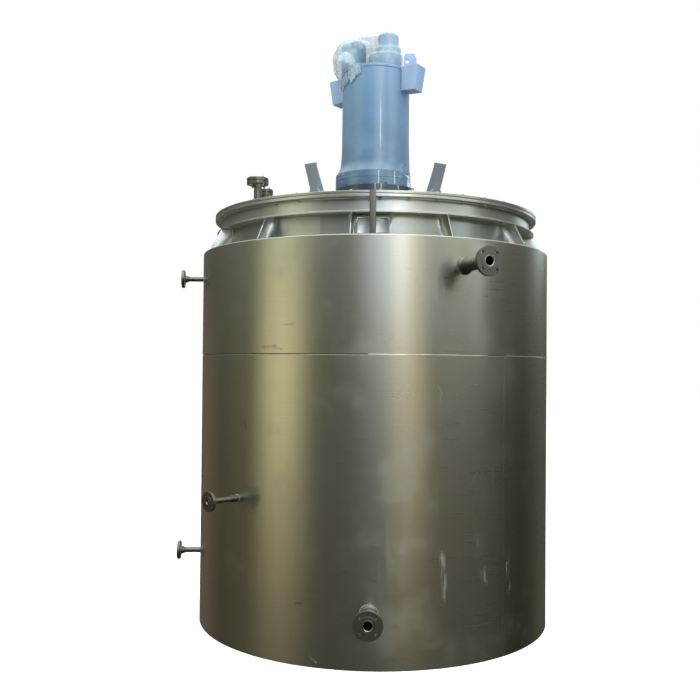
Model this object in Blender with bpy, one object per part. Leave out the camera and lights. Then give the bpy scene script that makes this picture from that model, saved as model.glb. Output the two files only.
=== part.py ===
"""Stainless mixing tank with an insulated jacket, a flanged conical cover and a blue top drive.

Metres, +Z up. The origin is the centre of the base on the floor, and the front faces -Y.
A bearing is an angle in degrees about the tank's axis, from the front and positive towards +X.
"""

import math

import bmesh
import bpy
from mathutils import Matrix, Vector

# Clearance between pieces that touch, and how far a cutter runs past what it cuts
GAP = 0.0003
OVERRUN = 0.004

# Jacket: two courses of insulated panels round the vessel
JACKET_RADIUS = 1.0
JACKET_TOP = 2.081
COURSE_SEAM = 1.502
SEAM_BEARING = 41.6
PANEL_COUNT = 6
PANEL_SWEEP = 360.0 / PANEL_COUNT
PANEL_STEPS = 16
SKIRT_THICKNESS = 0.015
BASE_THICKNESS = 0.012

# Vessel wall, which stands out of the jacket as the neck
VESSEL_RADIUS = 0.865
VESSEL_WALL = 0.008

# Radial gussets between the neck and the jacket's top
GUSSET_COUNT = 12
FIRST_GUSSET = -7.1
GUSSET_THICKNESS = 0.009
GUSSET_TOP_RADIUS = 0.926
GUSSET_FOOT_RADIUS = 0.985
GUSSET_TOE = 0.006

# Body flange: a band round the neck, flared at its foot, with the bolting ring on it
BAND_RADIUS = 0.900
BAND_FLARE_TOP = 2.232
BAND_LIP_RADIUS = 0.931
BAND_LIP_TOP = 2.205
BAND_BOTTOM = 2.198
RING_RADIUS = 0.936
RING_BOTTOM = 2.272
RING_TOP = 2.288

# Cover: a rim ring, a shallow cone and the flat seat of the drive
RIM_TOP = 2.3028
CONE_FOOT_RADIUS = 0.900
CONE_HEAD_RADIUS = 0.270
CONE_HEAD_HEIGHT = 2.428
COVER_WALL = 0.010
SEAT_RADIUS = 0.250
SEAT_HEIGHT = 2.440

# Joint bar and stiffening frame at the front of the neck
BAR_WIDTH = 0.031
BAR_THICKNESS = 0.010
BAR_BEVEL = 0.002
BAR_BEARING = -0.6
FRAME_WIDTH = 0.168
FRAME_DEPTH = 0.016
FRAME_ROOT = 0.0075
FRAME_LINE = 0.011
FRAME_MARGIN = 0.012
FRAME_RECESS = 0.007

# Lugs on the cover
LUG_BEARINGS = {
    "lug_front_left": -31.5,
    "lug_front_right": 31.5,
    "lug_rear_right": 148.5,
    "lug_rear_left": 211.5,
}
LUG_RADIUS = 0.620
LUG_HEIGHT = 0.168
LUG_LEAN = 15.0
LUG_TOP_WIDTH = 0.074
LUG_WAIST_WIDTH = 0.046
LUG_PLATE = 0.010
LUG_RIB_HEIGHT = 0.161
LUG_RIB_TOP = 0.026
LUG_RIB_FOOT = 0.066
LUG_FLARE = 0.020
LUG_FLARE_HEIGHT = 0.034
LUG_PAD = (0.150, 0.150, 0.008)

# Side nozzles: bearing, height, radius of the flange face, then the sizes of pipe and flange
NOZZLES = {
    "nozzle_front_low": {
        "bearing": -0.8,
        "height": 0.272,
        "face": 1.200,
        "pipe": 0.0285,
        "bore": 0.0205,
        "flange": 0.070,
        "thickness": 0.018,
        "hub": (0.038, 0.022),
        "bolt_circle": 0.0525,
        "bolt_hole": 0.007,
        "collar": (0.043, 0.008),
    },
    "nozzle_right_high": {
        "bearing": 26.2,
        "height": 1.941,
        "face": 1.217,
        "pipe": 0.0285,
        "bore": 0.0220,
        "flange": 0.071,
        "thickness": 0.017,
        "hub": (0.037, 0.018),
        "bolt_circle": 0.0560,
        "bolt_hole": 0.0075,
        "collar": (0.044, 0.014),
    },
    "nozzle_left_high": {
        "bearing": -84.0,
        "height": 1.946,
        "face": 1.130,
        "pipe": 0.0135,
        "bore": 0.0100,
        "flange": 0.052,
        "thickness": 0.018,
        "hub": (0.024, 0.030),
        "bolt_circle": 0.0375,
        "bolt_hole": 0.007,
        "collar": None,
    },
    "nozzle_left_mid": {
        "bearing": -43.5,
        "height": 0.768,
        "face": 1.184,
        "pipe": 0.0135,
        "bore": 0.0100,
        "flange": 0.050,
        "thickness": 0.016,
        "hub": (0.021, 0.018),
        "bolt_circle": 0.0365,
        "bolt_hole": 0.007,
        "collar": (0.0175, 0.040),
    },
    "nozzle_left_low": {
        "bearing": -86.0,
        "height": 0.364,
        "face": 1.140,
        "pipe": 0.0155,
        "bore": 0.0115,
        "flange": 0.053,
        "thickness": 0.018,
        "hub": (0.027, 0.032),
        "bolt_circle": 0.0375,
        "bolt_hole": 0.007,
        "collar": None,
    },
}
NOZZLE_STEPS = 24
PASSAGE_OVERRUN = 0.05
BOLT_HOLES = 4
BOLT_HOLE_STEPS = 10

# Cover nozzles, each closed by a blind flange: centre, top height, then pipe and flange radii
COVER_NOZZLES = {
    "cover_nozzle_large": {"centre": (-0.695, -0.05), "top": 2.552, "pipe": 0.0225, "flange": 0.064},
    "cover_nozzle_small": {"centre": (-0.671, 0.12), "top": 2.520, "pipe": 0.0170, "flange": 0.047},
}
FLANGE_PAIR = 0.038
FLANGE_JOINT = 0.0025
JOINT_SHARE = 0.72
COVER_HUB_SHARE = 1.35
COVER_HUB_LENGTH = 0.014

# Drive, from its dark base flange up to the covers on its head
DRIVE_FLANGE_RADIUS = 0.2375
DRIVE_FLANGE_TOP = 2.488
CASTING_RADIUS = 0.2226
CASTING_SHIFT = -0.0125
CASTING_TOP = 2.555
BARREL_TOP = 3.172
BARREL_RADIUS = 0.199
# Barrel's rings above the casting: centre x, radius and height over the casting's top
BARREL_FLARE = (
    (-0.0125, 0.2226, 0.012),
    (-0.0045, 0.2085, 0.052),
    (-0.001, 0.2035, 0.090),
    (0.0, 0.2005, 0.170),
    (0.0, BARREL_RADIUS, 0.300),
)
HEAD_PLATE_RADIUS = 0.200
HEAD_PLATE_TOP = 3.190
EAR_BEARINGS = {"ear_front_right": 58.8, "ear_rear_left": 236.5}
EAR_ROOT = 0.160
EAR_REACH = 0.312
EAR_WIDTH = 0.086
EAR_BOTTOM = 3.042
EAR_FOOT_INSET = 0.024
EAR_FOOT_RISE = 0.008
EAR_CHAMFER = 0.010
INPUT_CENTRE = (0.054, -0.010)
INPUT_RADIUS = 0.101
INPUT_TOP = 3.290
STEP_CENTRE = (0.070, -0.006)
STEP_RADIUS = 0.072
STEP_TOP = 3.337
CAP_RADIUS = 0.059
CAP_TOP = 3.420
MOTOR_CENTRE = (-0.135, 0.070)
MOTOR_RADIUS = 0.075
MOTOR_TOP = 3.398
FILM_CENTRE = (-0.157, 0.060)
FILM_RADIUS = 0.105
FILM_WALL = 0.003
FILM_TOP = 3.412
# Rounded top edges as steps in from the side and down from the top
CAP_EDGE = ((0.0, 0.018), (0.008, 0.005), (0.022, 0.0))
MOTOR_EDGE = ((0.0, 0.030), (0.010, 0.008), (0.026, 0.0))
FILM_EDGE = ((0.0, 0.040), (0.008, 0.012), (0.025, 0.002), (0.060, 0.0))

# Eye plate on the front right ear: outline and hole as shares of its half width and its height
EYE_PLACE = 0.232
EYE_WIDTH = 0.074
EYE_THICKNESS = 0.014
EYE_HEIGHT = 0.078
EYE_OUTLINE = ((-1.0, 0.0), (1.0, 0.0), (1.0, 0.55), (0.62, 1.0), (-0.75, 1.0), (-1.0, 0.75))
EYE_HOLE = 0.011
EYE_HOLE_PLACE = (-0.5, 0.42)


def make_material(name, colour, metallic, roughness):
    material = bpy.data.materials.new(name)
    material.use_nodes = True
    shader = material.node_tree.nodes["Principled BSDF"]
    shader.inputs["Base Color"].default_value = (*colour, 1.0)
    shader.inputs["Metallic"].default_value = metallic
    shader.inputs["Roughness"].default_value = roughness
    material.diffuse_color = (*colour, 1.0)
    return material


def add_object(name, shape, material):
    """Turns a bmesh into a named object with smooth round sides and sharp edges."""
    bmesh.ops.remove_doubles(shape, verts=shape.verts, dist=1e-6)
    bmesh.ops.recalc_face_normals(shape, faces=shape.faces)
    mesh = bpy.data.meshes.new(name)
    shape.to_mesh(mesh)
    shape.free()
    mesh.shade_smooth()
    mesh.set_sharp_from_angle(angle=math.radians(30.0))
    if material is not None:
        mesh.materials.append(material)
    obj = bpy.data.objects.new(name, mesh)
    bpy.context.scene.collection.objects.link(obj)
    return obj


def on_bearing(bearing):
    """Turns what faces the front round the tank's axis to a bearing."""
    return Matrix.Rotation(math.radians(bearing), 4, "Z")


def turned(profile, steps, start=0.0, sweep=360.0):
    """Spins a closed (radius, height) profile about the Z axis from one bearing over a sweep."""
    shape = bmesh.new()
    corners = [shape.verts.new((0.0, -radius, height)) for radius, height in profile]
    bmesh.ops.rotate(shape, verts=corners, matrix=on_bearing(start).to_3x3())
    whole = sweep >= 360.0
    if whole:
        edges = [shape.edges.new((a, b)) for a, b in zip(corners, corners[1:] + corners[:1])]
        moved = corners + edges
    else:
        face = shape.faces.new(corners)
        moved = [face, *face.edges, *corners]
    bmesh.ops.spin(
        shape,
        geom=moved,
        axis=(0.0, 0.0, 1.0),
        angle=math.radians(sweep),
        steps=steps,
        use_merge=whole,
    )
    bmesh.ops.remove_doubles(shape, verts=shape.verts, dist=1e-6)
    return shape


def add_box(shape, low, high):
    """Adds a box between two corners to a bmesh and returns its vertices."""
    made = bmesh.ops.create_cube(shape, size=1.0)["verts"]
    middle = [(a + b) / 2 for a, b in zip(low, high)]
    size = [b - a for a, b in zip(low, high)]
    bmesh.ops.transform(shape, verts=made, matrix=Matrix.Translation(middle) @ Matrix.Diagonal((*size, 1.0)))
    return made


def add_prism(shape, outline, start, depth):
    """Adds an outline of points, pushed along a vector from a start point, to a bmesh."""
    corners = [shape.verts.new(Vector(start) + Vector(point)) for point in outline]
    face = shape.faces.new(corners)
    pushed = bmesh.ops.extrude_face_region(shape, geom=[face])["geom"]
    far = [item for item in pushed if isinstance(item, bmesh.types.BMVert)]
    bmesh.ops.translate(shape, verts=far, vec=depth)
    return corners + far


def boolean(target, operation, tool):
    """Joins or cuts with a helper object that isn't part of the model."""
    tool.hide_render = True
    tool.display_type = "WIRE"
    modifier = target.modifiers.new(tool.name, "BOOLEAN")
    modifier.operation = operation
    modifier.solver = "EXACT"
    modifier.object = tool


def cylinder(radius, low, high, steps):
    """A plain closed cylinder on the Z axis."""
    return turned([(0.0, low), (radius, low), (radius, high), (0.0, high)], steps)


def panel_span(index):
    """The first bearing and the sweep of one panel, less the clearance at its ends."""
    slack = math.degrees(GAP / VESSEL_RADIUS / 2)
    return SEAM_BEARING + index * PANEL_SWEEP + slack, PANEL_SWEEP - 2 * slack


def panel_holding(bearing):
    """The number of the panel that a bearing falls on."""
    return int(((bearing - SEAM_BEARING) % 360.0) // PANEL_SWEEP)


def make_base(steel):
    """Flat bottom plate inside the jacket's skirt."""
    radius = JACKET_RADIUS - SKIRT_THICKNESS - GAP
    shape = turned(
        [(0.0, 0.0), (radius, 0.0), (radius, BASE_THICKNESS), (0.0, BASE_THICKNESS)],
        PANEL_COUNT * PANEL_STEPS,
        SEAM_BEARING,
    )
    add_object("base_plate", shape, steel)


def make_jacket(steel):
    """Both courses of panels, returned by course and number so that nozzles can be cut through."""
    inner = VESSEL_RADIUS + GAP
    skirt = JACKET_RADIUS - SKIRT_THICKNESS
    over_base = BASE_THICKNESS + GAP
    profiles = {
        "lower": [
            (inner, over_base),
            (skirt, over_base),
            (skirt, 0.0),
            (JACKET_RADIUS, 0.0),
            (JACKET_RADIUS, COURSE_SEAM - GAP),
            (inner, COURSE_SEAM - GAP),
        ],
        "upper": [
            (inner, COURSE_SEAM),
            (JACKET_RADIUS, COURSE_SEAM),
            (JACKET_RADIUS, JACKET_TOP),
            (inner, JACKET_TOP),
        ],
    }
    panels = {}
    for course, profile in profiles.items():
        for index in range(PANEL_COUNT):
            start, sweep = panel_span(index)
            shape = turned(profile, PANEL_STEPS, start, sweep)
            panels[course, index] = add_object(f"jacket_{course}_{index + 1}", shape, steel)
    return panels


def gusset_tool(name, bearing):
    """One radial gusset, rooted in the vessel wall."""
    root = VESSEL_RADIUS - VESSEL_WALL / 2
    low = JACKET_TOP + GAP
    high = BAND_BOTTOM - GAP
    outline = [
        (0.0, -root, low),
        (0.0, -GUSSET_FOOT_RADIUS, low),
        (0.0, -GUSSET_FOOT_RADIUS, low + GUSSET_TOE),
        (0.0, -GUSSET_TOP_RADIUS, high),
        (0.0, -root, high),
    ]
    shape = bmesh.new()
    made = add_prism(shape, outline, (-GUSSET_THICKNESS / 2, 0.0, 0.0), (GUSSET_THICKNESS, 0.0, 0.0))
    bmesh.ops.transform(shape, verts=made, matrix=on_bearing(bearing))
    return add_object(name, shape, None)


def frame_tool():
    """Stiffening frame on the neck, a shallow tray with raised edges either side of the joint bar."""
    root = VESSEL_RADIUS - FRAME_ROOT
    low = JACKET_TOP + FRAME_MARGIN
    high = BAND_BOTTOM - FRAME_MARGIN
    half = FRAME_WIDTH / 2
    face = VESSEL_RADIUS + FRAME_DEPTH
    shape = bmesh.new()
    made = add_box(shape, (-half, -face, low), (half, -root, high))
    bmesh.ops.transform(shape, verts=made, matrix=on_bearing(BAR_BEARING))
    tray = add_object("frame_tray", shape, None)
    shape = bmesh.new()
    inset = face - FRAME_RECESS
    for side in (-1.0, 1.0):
        ends = sorted((side * (BAR_WIDTH / 2 + FRAME_LINE), side * (half - FRAME_LINE)))
        near = (ends[0], -face - OVERRUN, low + FRAME_LINE)
        made = add_box(shape, near, (ends[1], -inset, high - FRAME_LINE))
        bmesh.ops.transform(shape, verts=made, matrix=on_bearing(BAR_BEARING))
    recess = add_object("frame_recess", shape, None)
    boolean(tray, "DIFFERENCE", recess)
    return tray


def make_vessel(steel):
    """Vessel wall in segments that carry the gussets and, at the front, the stiffening frame."""
    profile = [
        (VESSEL_RADIUS - VESSEL_WALL, BASE_THICKNESS + GAP),
        (VESSEL_RADIUS, BASE_THICKNESS + GAP),
        (VESSEL_RADIUS, RING_BOTTOM - GAP),
        (VESSEL_RADIUS - VESSEL_WALL, RING_BOTTOM - GAP),
    ]
    walls = []
    for index in range(PANEL_COUNT):
        start, sweep = panel_span(index)
        shape = turned(profile, PANEL_STEPS, start, sweep)
        walls.append(add_object(f"vessel_wall_{index + 1}", shape, steel))
    for number in range(GUSSET_COUNT):
        bearing = FIRST_GUSSET + number * 360.0 / GUSSET_COUNT
        boolean(walls[panel_holding(bearing)], "UNION", gusset_tool(f"gusset_{number + 1:02d}", bearing))
    boolean(walls[panel_holding(BAR_BEARING)], "UNION", frame_tool())


def make_body_flange(steel):
    """Band round the neck, flared to a lip at its foot, and the bolting ring on top."""
    inner = VESSEL_RADIUS + GAP
    profile = [
        (VESSEL_RADIUS - VESSEL_WALL, RING_BOTTOM),
        (inner, RING_BOTTOM),
        (inner, BAND_BOTTOM),
        (BAND_LIP_RADIUS, BAND_BOTTOM),
        (BAND_LIP_RADIUS, BAND_LIP_TOP),
        (BAND_RADIUS, BAND_FLARE_TOP),
        (BAND_RADIUS, RING_BOTTOM),
        (RING_RADIUS, RING_BOTTOM),
        (RING_RADIUS, RING_TOP),
        (VESSEL_RADIUS - VESSEL_WALL, RING_TOP),
    ]
    add_object("body_flange", turned(profile, PANEL_COUNT * PANEL_STEPS, SEAM_BEARING), steel)


def cone_height(radius):
    """Height of the cover's outer face at a radius."""
    share = (CONE_FOOT_RADIUS - radius) / (CONE_FOOT_RADIUS - CONE_HEAD_RADIUS)
    return RIM_TOP + share * (CONE_HEAD_HEIGHT - RIM_TOP)


def make_cover(steel):
    """Cover in one piece: rim ring, shallow cone and the drive's seat."""
    bottom = RING_TOP + GAP
    profile = [
        (RING_RADIUS, bottom),
        (RING_RADIUS, RIM_TOP),
        (CONE_FOOT_RADIUS, RIM_TOP),
        (CONE_HEAD_RADIUS, CONE_HEAD_HEIGHT),
        (SEAT_RADIUS, SEAT_HEIGHT),
        (0.0, SEAT_HEIGHT),
        (0.0, CONE_HEAD_HEIGHT - COVER_WALL),
        (CONE_HEAD_RADIUS, CONE_HEAD_HEIGHT - COVER_WALL),
        (VESSEL_RADIUS - VESSEL_WALL, bottom),
    ]
    add_object("cover", turned(profile, PANEL_COUNT * PANEL_STEPS, SEAM_BEARING), steel)


def make_joint_bar(steel):
    """Upright flat bar that covers the joint of the band at the front."""
    near = RING_RADIUS + GAP
    shape = bmesh.new()
    add_box(
        shape,
        (-BAR_WIDTH / 2, -near - BAR_THICKNESS, JACKET_TOP + GAP),
        (BAR_WIDTH / 2, -near, RIM_TOP),
    )
    bmesh.ops.bevel(
        shape,
        geom=[edge for edge in shape.edges if abs(edge.verts[0].co.z - edge.verts[1].co.z) > BAR_WIDTH],
        offset=BAR_BEVEL,
        segments=2,
        affect="EDGES",
    )
    bmesh.ops.transform(shape, verts=shape.verts, matrix=on_bearing(BAR_BEARING))
    add_object("joint_bar", shape, steel)


def make_lugs(steel):
    """Lugs on the cover: a leaning face plate, a rib behind it and a pad on the cone."""
    slope = math.atan((CONE_HEAD_HEIGHT - RIM_TOP) / (CONE_FOOT_RADIUS - CONE_HEAD_RADIUS))
    run = LUG_HEIGHT * math.tan(math.radians(LUG_LEAN) - slope)
    waist = LUG_WAIST_WIDTH / 2
    for name, bearing in LUG_BEARINGS.items():
        # The rib stands on the side nearer the tank's front-to-back centre line.
        facing = math.sin(math.radians(bearing)) * math.cos(math.radians(bearing))
        side = -1.0 if facing > 0 else 1.0
        shape = bmesh.new()
        wide, deep, thick = LUG_PAD
        add_box(shape, (-wide / 2, -deep / 2, GAP), (wide / 2, deep / 2, thick))
        pad = add_object(name, shape, steel)
        shape = bmesh.new()
        outline = [
            (-waist - LUG_FLARE, 0.0, thick / 2),
            (waist + LUG_FLARE, 0.0, thick / 2),
            (waist, 0.0, LUG_FLARE_HEIGHT),
            (LUG_TOP_WIDTH / 2, 0.0, LUG_HEIGHT),
            (-LUG_TOP_WIDTH / 2, 0.0, LUG_HEIGHT),
            (-waist, 0.0, LUG_FLARE_HEIGHT),
        ]
        add_prism(shape, outline, (0.0, 0.0, 0.0), (0.0, LUG_PLATE, 0.0))
        for vertex in shape.verts:
            vertex.co.y -= run * vertex.co.z / LUG_HEIGHT
        plate = add_object(name + "_plate", shape, None)
        shape = bmesh.new()
        inner_face = LUG_PLATE / 2
        outline = [
            (0.0, inner_face, thick / 2),
            (0.0, LUG_RIB_FOOT, thick / 2),
            (0.0, LUG_RIB_TOP - run, LUG_RIB_HEIGHT),
            (0.0, inner_face - run, LUG_RIB_HEIGHT),
        ]
        outer_side = side * waist
        low = min(outer_side, outer_side - side * LUG_PLATE)
        add_prism(shape, outline, (low, 0.0, 0.0), (LUG_PLATE, 0.0, 0.0))
        rib = add_object(name + "_rib", shape, None)
        place = (
            on_bearing(bearing)
            @ Matrix.Translation((0.0, -LUG_RADIUS, cone_height(LUG_RADIUS)))
            @ Matrix.Rotation(slope, 4, "X")
        )
        for tool in (plate, rib):
            tool.matrix_world = place
            boolean(pad, "UNION", tool)
        pad.matrix_world = place


def bolt_hole_tool(name, circle, radius, low, high):
    """Cutter for the bolt holes of one flange, between two heights on the Z axis."""
    shape = bmesh.new()
    for number in range(BOLT_HOLES):
        turn = math.radians(45.0 + number * 360.0 / BOLT_HOLES)
        place = Matrix.Translation((circle * math.cos(turn), circle * math.sin(turn), (low + high) / 2))
        bmesh.ops.create_cone(
            shape,
            cap_ends=True,
            segments=BOLT_HOLE_STEPS,
            radius1=radius,
            radius2=radius,
            depth=high - low,
            matrix=place,
        )
    return add_object(name + "_bolt_holes", shape, None)


def nozzle_profile(sizes, root):
    """Profile of a side nozzle: pipe, collar on the jacket, tapered hub and flange, with its bore."""
    face = sizes["face"]
    back = face - sizes["thickness"]
    hub_radius, hub_length = sizes["hub"]
    pipe = sizes["pipe"]
    profile = [(sizes["bore"], root), (pipe, root)]
    if sizes["collar"] is not None:
        collar_radius, collar_length = sizes["collar"]
        low = JACKET_RADIUS + GAP
        high = low + collar_length
        profile += [(pipe, low), (collar_radius, low), (collar_radius, high), (pipe, high)]
    profile += [
        (pipe, back - hub_length),
        (hub_radius, back),
        (sizes["flange"], back),
        (sizes["flange"], face),
        (sizes["bore"], face),
    ]
    return profile


def make_nozzles(panels, steel):
    """Side nozzles, each through its own hole in a jacket panel and seated on the vessel wall."""
    lay_down = Matrix.Rotation(math.radians(90.0), 4, "X")
    for name, sizes in NOZZLES.items():
        place = on_bearing(sizes["bearing"]) @ Matrix.Translation((0.0, 0.0, sizes["height"])) @ lay_down
        shape = turned(nozzle_profile(sizes, VESSEL_RADIUS + GAP), NOZZLE_STEPS)
        nozzle = add_object(name, shape, steel)
        nozzle.matrix_world = place
        low = sizes["face"] - sizes["thickness"] - OVERRUN
        high = sizes["face"] + OVERRUN
        holes = bolt_hole_tool(name, sizes["bolt_circle"], sizes["bolt_hole"], low, high)
        holes.matrix_world = place
        boolean(nozzle, "DIFFERENCE", holes)
        course = "upper" if sizes["height"] > COURSE_SEAM else "lower"
        inside = VESSEL_RADIUS - PASSAGE_OVERRUN
        shape = cylinder(sizes["pipe"] + GAP, inside, JACKET_RADIUS + PASSAGE_OVERRUN, NOZZLE_STEPS)
        passage = add_object(name + "_passage", shape, None)
        passage.matrix_world = place
        boolean(panels[course, panel_holding(sizes["bearing"])], "DIFFERENCE", passage)


def make_cover_nozzles(steel):
    """Upright nozzles on the cone, each closed by a blind flange."""
    for name, sizes in COVER_NOZZLES.items():
        x, y = sizes["centre"]
        pipe = sizes["pipe"]
        flange = sizes["flange"]
        foot = cone_height(math.hypot(x, y) - pipe) + GAP
        top = sizes["top"]
        middle = top - FLANGE_PAIR / 2
        profile = [
            (0.0, foot),
            (pipe, foot),
            (pipe, top - FLANGE_PAIR - COVER_HUB_LENGTH),
            (pipe * COVER_HUB_SHARE, top - FLANGE_PAIR),
            (flange, top - FLANGE_PAIR),
            (flange, middle - FLANGE_JOINT / 2),
            (flange * JOINT_SHARE, middle - FLANGE_JOINT / 2),
            (flange * JOINT_SHARE, middle + FLANGE_JOINT / 2),
            (flange, middle + FLANGE_JOINT / 2),
            (flange, top),
            (0.0, top),
        ]
        nozzle = add_object(name, turned(profile, NOZZLE_STEPS), steel)
        nozzle.location = (x, y, 0.0)


def lofted(rings, steps):
    """Closed solid through circles given as (centre x, radius, height), from the bottom up."""
    shape = bmesh.new()
    loops = []
    for centre, radius, height in rings:
        turns = [2 * math.pi * step / steps for step in range(steps)]
        points = [(centre + radius * math.cos(turn), radius * math.sin(turn), height) for turn in turns]
        verts = [shape.verts.new(point) for point in points]
        loops.append([shape.edges.new((a, b)) for a, b in zip(verts, verts[1:] + verts[:1])])
        if height in (rings[0][2], rings[-1][2]):
            shape.faces.new(verts)
    for lower, upper in zip(loops, loops[1:]):
        bmesh.ops.bridge_loops(shape, edges=lower + upper)
    return shape


def make_drive(paint, dark):
    """Dark base flange, base casting, barrel and head plate of the drive."""
    shape = cylinder(DRIVE_FLANGE_RADIUS, SEAT_HEIGHT + GAP, DRIVE_FLANGE_TOP, 48)
    add_object("drive_flange", shape, dark)
    rings = [
        (CASTING_SHIFT, CASTING_RADIUS, DRIVE_FLANGE_TOP + GAP),
        (CASTING_SHIFT, CASTING_RADIUS, CASTING_TOP),
    ]
    add_object("drive_casting", lofted(rings, 48), paint)
    rings = [
        (CASTING_SHIFT, CASTING_RADIUS, CASTING_TOP + GAP),
        *((centre, radius, CASTING_TOP + height) for centre, radius, height in BARREL_FLARE),
        (0.0, BARREL_RADIUS, BARREL_TOP),
    ]
    add_object("drive_barrel", lofted(rings, 48), paint)
    shape = cylinder(HEAD_PLATE_RADIUS, BARREL_TOP + GAP, HEAD_PLATE_TOP, 48)
    add_object("head_plate", shape, paint)


def make_ears(paint):
    """Two opposite ears beside the barrel's head, cut to its round side and drawn in at the foot."""
    shape = cylinder(HEAD_PLATE_RADIUS + GAP, EAR_BOTTOM - OVERRUN, HEAD_PLATE_TOP + OVERRUN, 48)
    barrel = add_object("ear_seat", shape, None)
    for name, bearing in EAR_BEARINGS.items():
        outline = [
            (0.0, -EAR_ROOT, EAR_BOTTOM + EAR_FOOT_RISE),
            (0.0, -EAR_REACH + EAR_FOOT_INSET, EAR_BOTTOM),
            (0.0, -EAR_REACH, HEAD_PLATE_TOP - EAR_CHAMFER),
            (0.0, -EAR_REACH + EAR_CHAMFER, HEAD_PLATE_TOP),
            (0.0, -EAR_ROOT, HEAD_PLATE_TOP),
        ]
        shape = bmesh.new()
        made = add_prism(shape, outline, (-EAR_WIDTH / 2, 0.0, 0.0), (EAR_WIDTH, 0.0, 0.0))
        bmesh.ops.transform(shape, verts=made, matrix=on_bearing(bearing))
        ear = add_object(name, shape, paint)
        boolean(ear, "DIFFERENCE", barrel)


def make_eye(paint):
    """Upright eye plate on the front right ear, with its hole towards the barrel."""
    bearing = EAR_BEARINGS["ear_front_right"]
    low = HEAD_PLATE_TOP + GAP
    shape = bmesh.new()
    half = EYE_WIDTH / 2
    outline = [(half * across, 0.0, low + EYE_HEIGHT * up) for across, up in EYE_OUTLINE]
    add_prism(shape, outline, (0.0, -EYE_THICKNESS / 2, 0.0), (0.0, EYE_THICKNESS, 0.0))
    eye = add_object("eye_plate", shape, paint)
    place = Matrix.Translation(on_bearing(bearing) @ Vector((0.0, -EYE_PLACE, 0.0)))
    eye.matrix_world = place
    shape = cylinder(EYE_HOLE, -EYE_THICKNESS, EYE_THICKNESS, 16)
    hole = add_object("eye_hole", shape, None)
    across, up = EYE_HOLE_PLACE
    sideways = Matrix.Rotation(math.radians(90.0), 4, "X")
    hole.matrix_world = place @ Matrix.Translation((half * across, 0.0, low + EYE_HEIGHT * up)) @ sideways
    boolean(eye, "DIFFERENCE", hole)


def rounded_top(radius, top, edge):
    """Profile points of a rounded top edge, from its steps in and down."""
    return [(radius - inward, top - down) for inward, down in edge]


def make_head(pale, paint, film):
    """Input cover, its step and cap, the motor beside them and the film bag over the motor."""
    shape = cylinder(INPUT_RADIUS, HEAD_PLATE_TOP + GAP, INPUT_TOP, 40)
    add_object("input_cover", shape, pale).location = (*INPUT_CENTRE, 0.0)
    shape = cylinder(STEP_RADIUS, INPUT_TOP + GAP, STEP_TOP, 36)
    add_object("input_step", shape, pale).location = (*STEP_CENTRE, 0.0)
    low = STEP_TOP + GAP
    profile = [(0.0, low), (CAP_RADIUS, low), *rounded_top(CAP_RADIUS, CAP_TOP, CAP_EDGE), (0.0, CAP_TOP)]
    add_object("input_cap", turned(profile, 32), pale).location = (*STEP_CENTRE, 0.0)
    low = HEAD_PLATE_TOP + GAP
    profile = [
        (0.0, low),
        (MOTOR_RADIUS, low),
        *rounded_top(MOTOR_RADIUS, MOTOR_TOP, MOTOR_EDGE),
        (0.0, MOTOR_TOP),
    ]
    add_object("motor", turned(profile, 32), paint).location = (*MOTOR_CENTRE, 0.0)
    inner = FILM_RADIUS - FILM_WALL
    roof = MOTOR_TOP + GAP
    profile = [
        (inner, low),
        (FILM_RADIUS, low),
        *rounded_top(FILM_RADIUS, FILM_TOP, FILM_EDGE),
        (0.0, FILM_TOP),
        (0.0, roof),
        *reversed(rounded_top(inner, roof, MOTOR_EDGE)),
    ]
    add_object("film_bag", turned(profile, 32), film).location = (*FILM_CENTRE, 0.0)


def main():
    for old in list(bpy.data.objects):
        bpy.data.objects.remove(old, do_unlink=True)
    steel = make_material("brushed_stainless", (0.55, 0.55, 0.52), 1.0, 0.35)
    dark_steel = make_material("dull_stainless", (0.40, 0.40, 0.37), 1.0, 0.45)
    blue = make_material("blue_enamel", (0.10, 0.22, 0.36), 0.0, 0.25)
    pale_blue = make_material("pale_blue_enamel", (0.22, 0.40, 0.55), 0.0, 0.30)
    navy = make_material("navy_enamel", (0.015, 0.03, 0.06), 0.0, 0.40)
    film = make_material("clear_film", (0.80, 0.86, 0.84), 0.0, 0.20)
    make_base(dark_steel)
    panels = make_jacket(steel)
    make_vessel(steel)
    make_body_flange(steel)
    make_cover(steel)
    make_joint_bar(steel)
    make_lugs(steel)
    make_nozzles(panels, dark_steel)
    make_cover_nozzles(dark_steel)
    make_drive(blue, navy)
    make_ears(blue)
    make_eye(blue)
    make_head(pale_blue, blue, film)


main()
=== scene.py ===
"""Looks of the jacketed mixing tank: its sheets, flanges, bolts, welds, drive and film, and the stage.

Metres, +Z up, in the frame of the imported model. A bearing is an angle in degrees about the tank's
axis, from the front (-Y) and positive towards +X.
"""

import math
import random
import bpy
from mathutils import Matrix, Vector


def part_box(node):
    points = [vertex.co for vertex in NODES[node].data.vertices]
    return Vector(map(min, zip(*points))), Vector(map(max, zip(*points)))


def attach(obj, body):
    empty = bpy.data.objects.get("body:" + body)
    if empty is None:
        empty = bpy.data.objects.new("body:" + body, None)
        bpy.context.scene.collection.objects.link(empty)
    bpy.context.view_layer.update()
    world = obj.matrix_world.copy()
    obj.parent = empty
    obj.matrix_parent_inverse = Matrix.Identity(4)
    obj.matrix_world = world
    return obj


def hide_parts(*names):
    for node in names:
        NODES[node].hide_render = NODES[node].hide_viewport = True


bl_info = {
    "name": "Jacketed Mixing Tank",
    "version": (1, 0, 0),
    "blender": (4, 5, 0),
    "location": "3D View > Sidebar > Mixing Tank",
    "description": "Dresses a stainless mixing tank with its sheets, flanges, welds, drive and film",
    "category": "Object",
}

import bmesh
import bpy
from bpy.props import FloatProperty, FloatVectorProperty, IntProperty, PointerProperty
from mathutils import Matrix, Vector, noise

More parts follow.
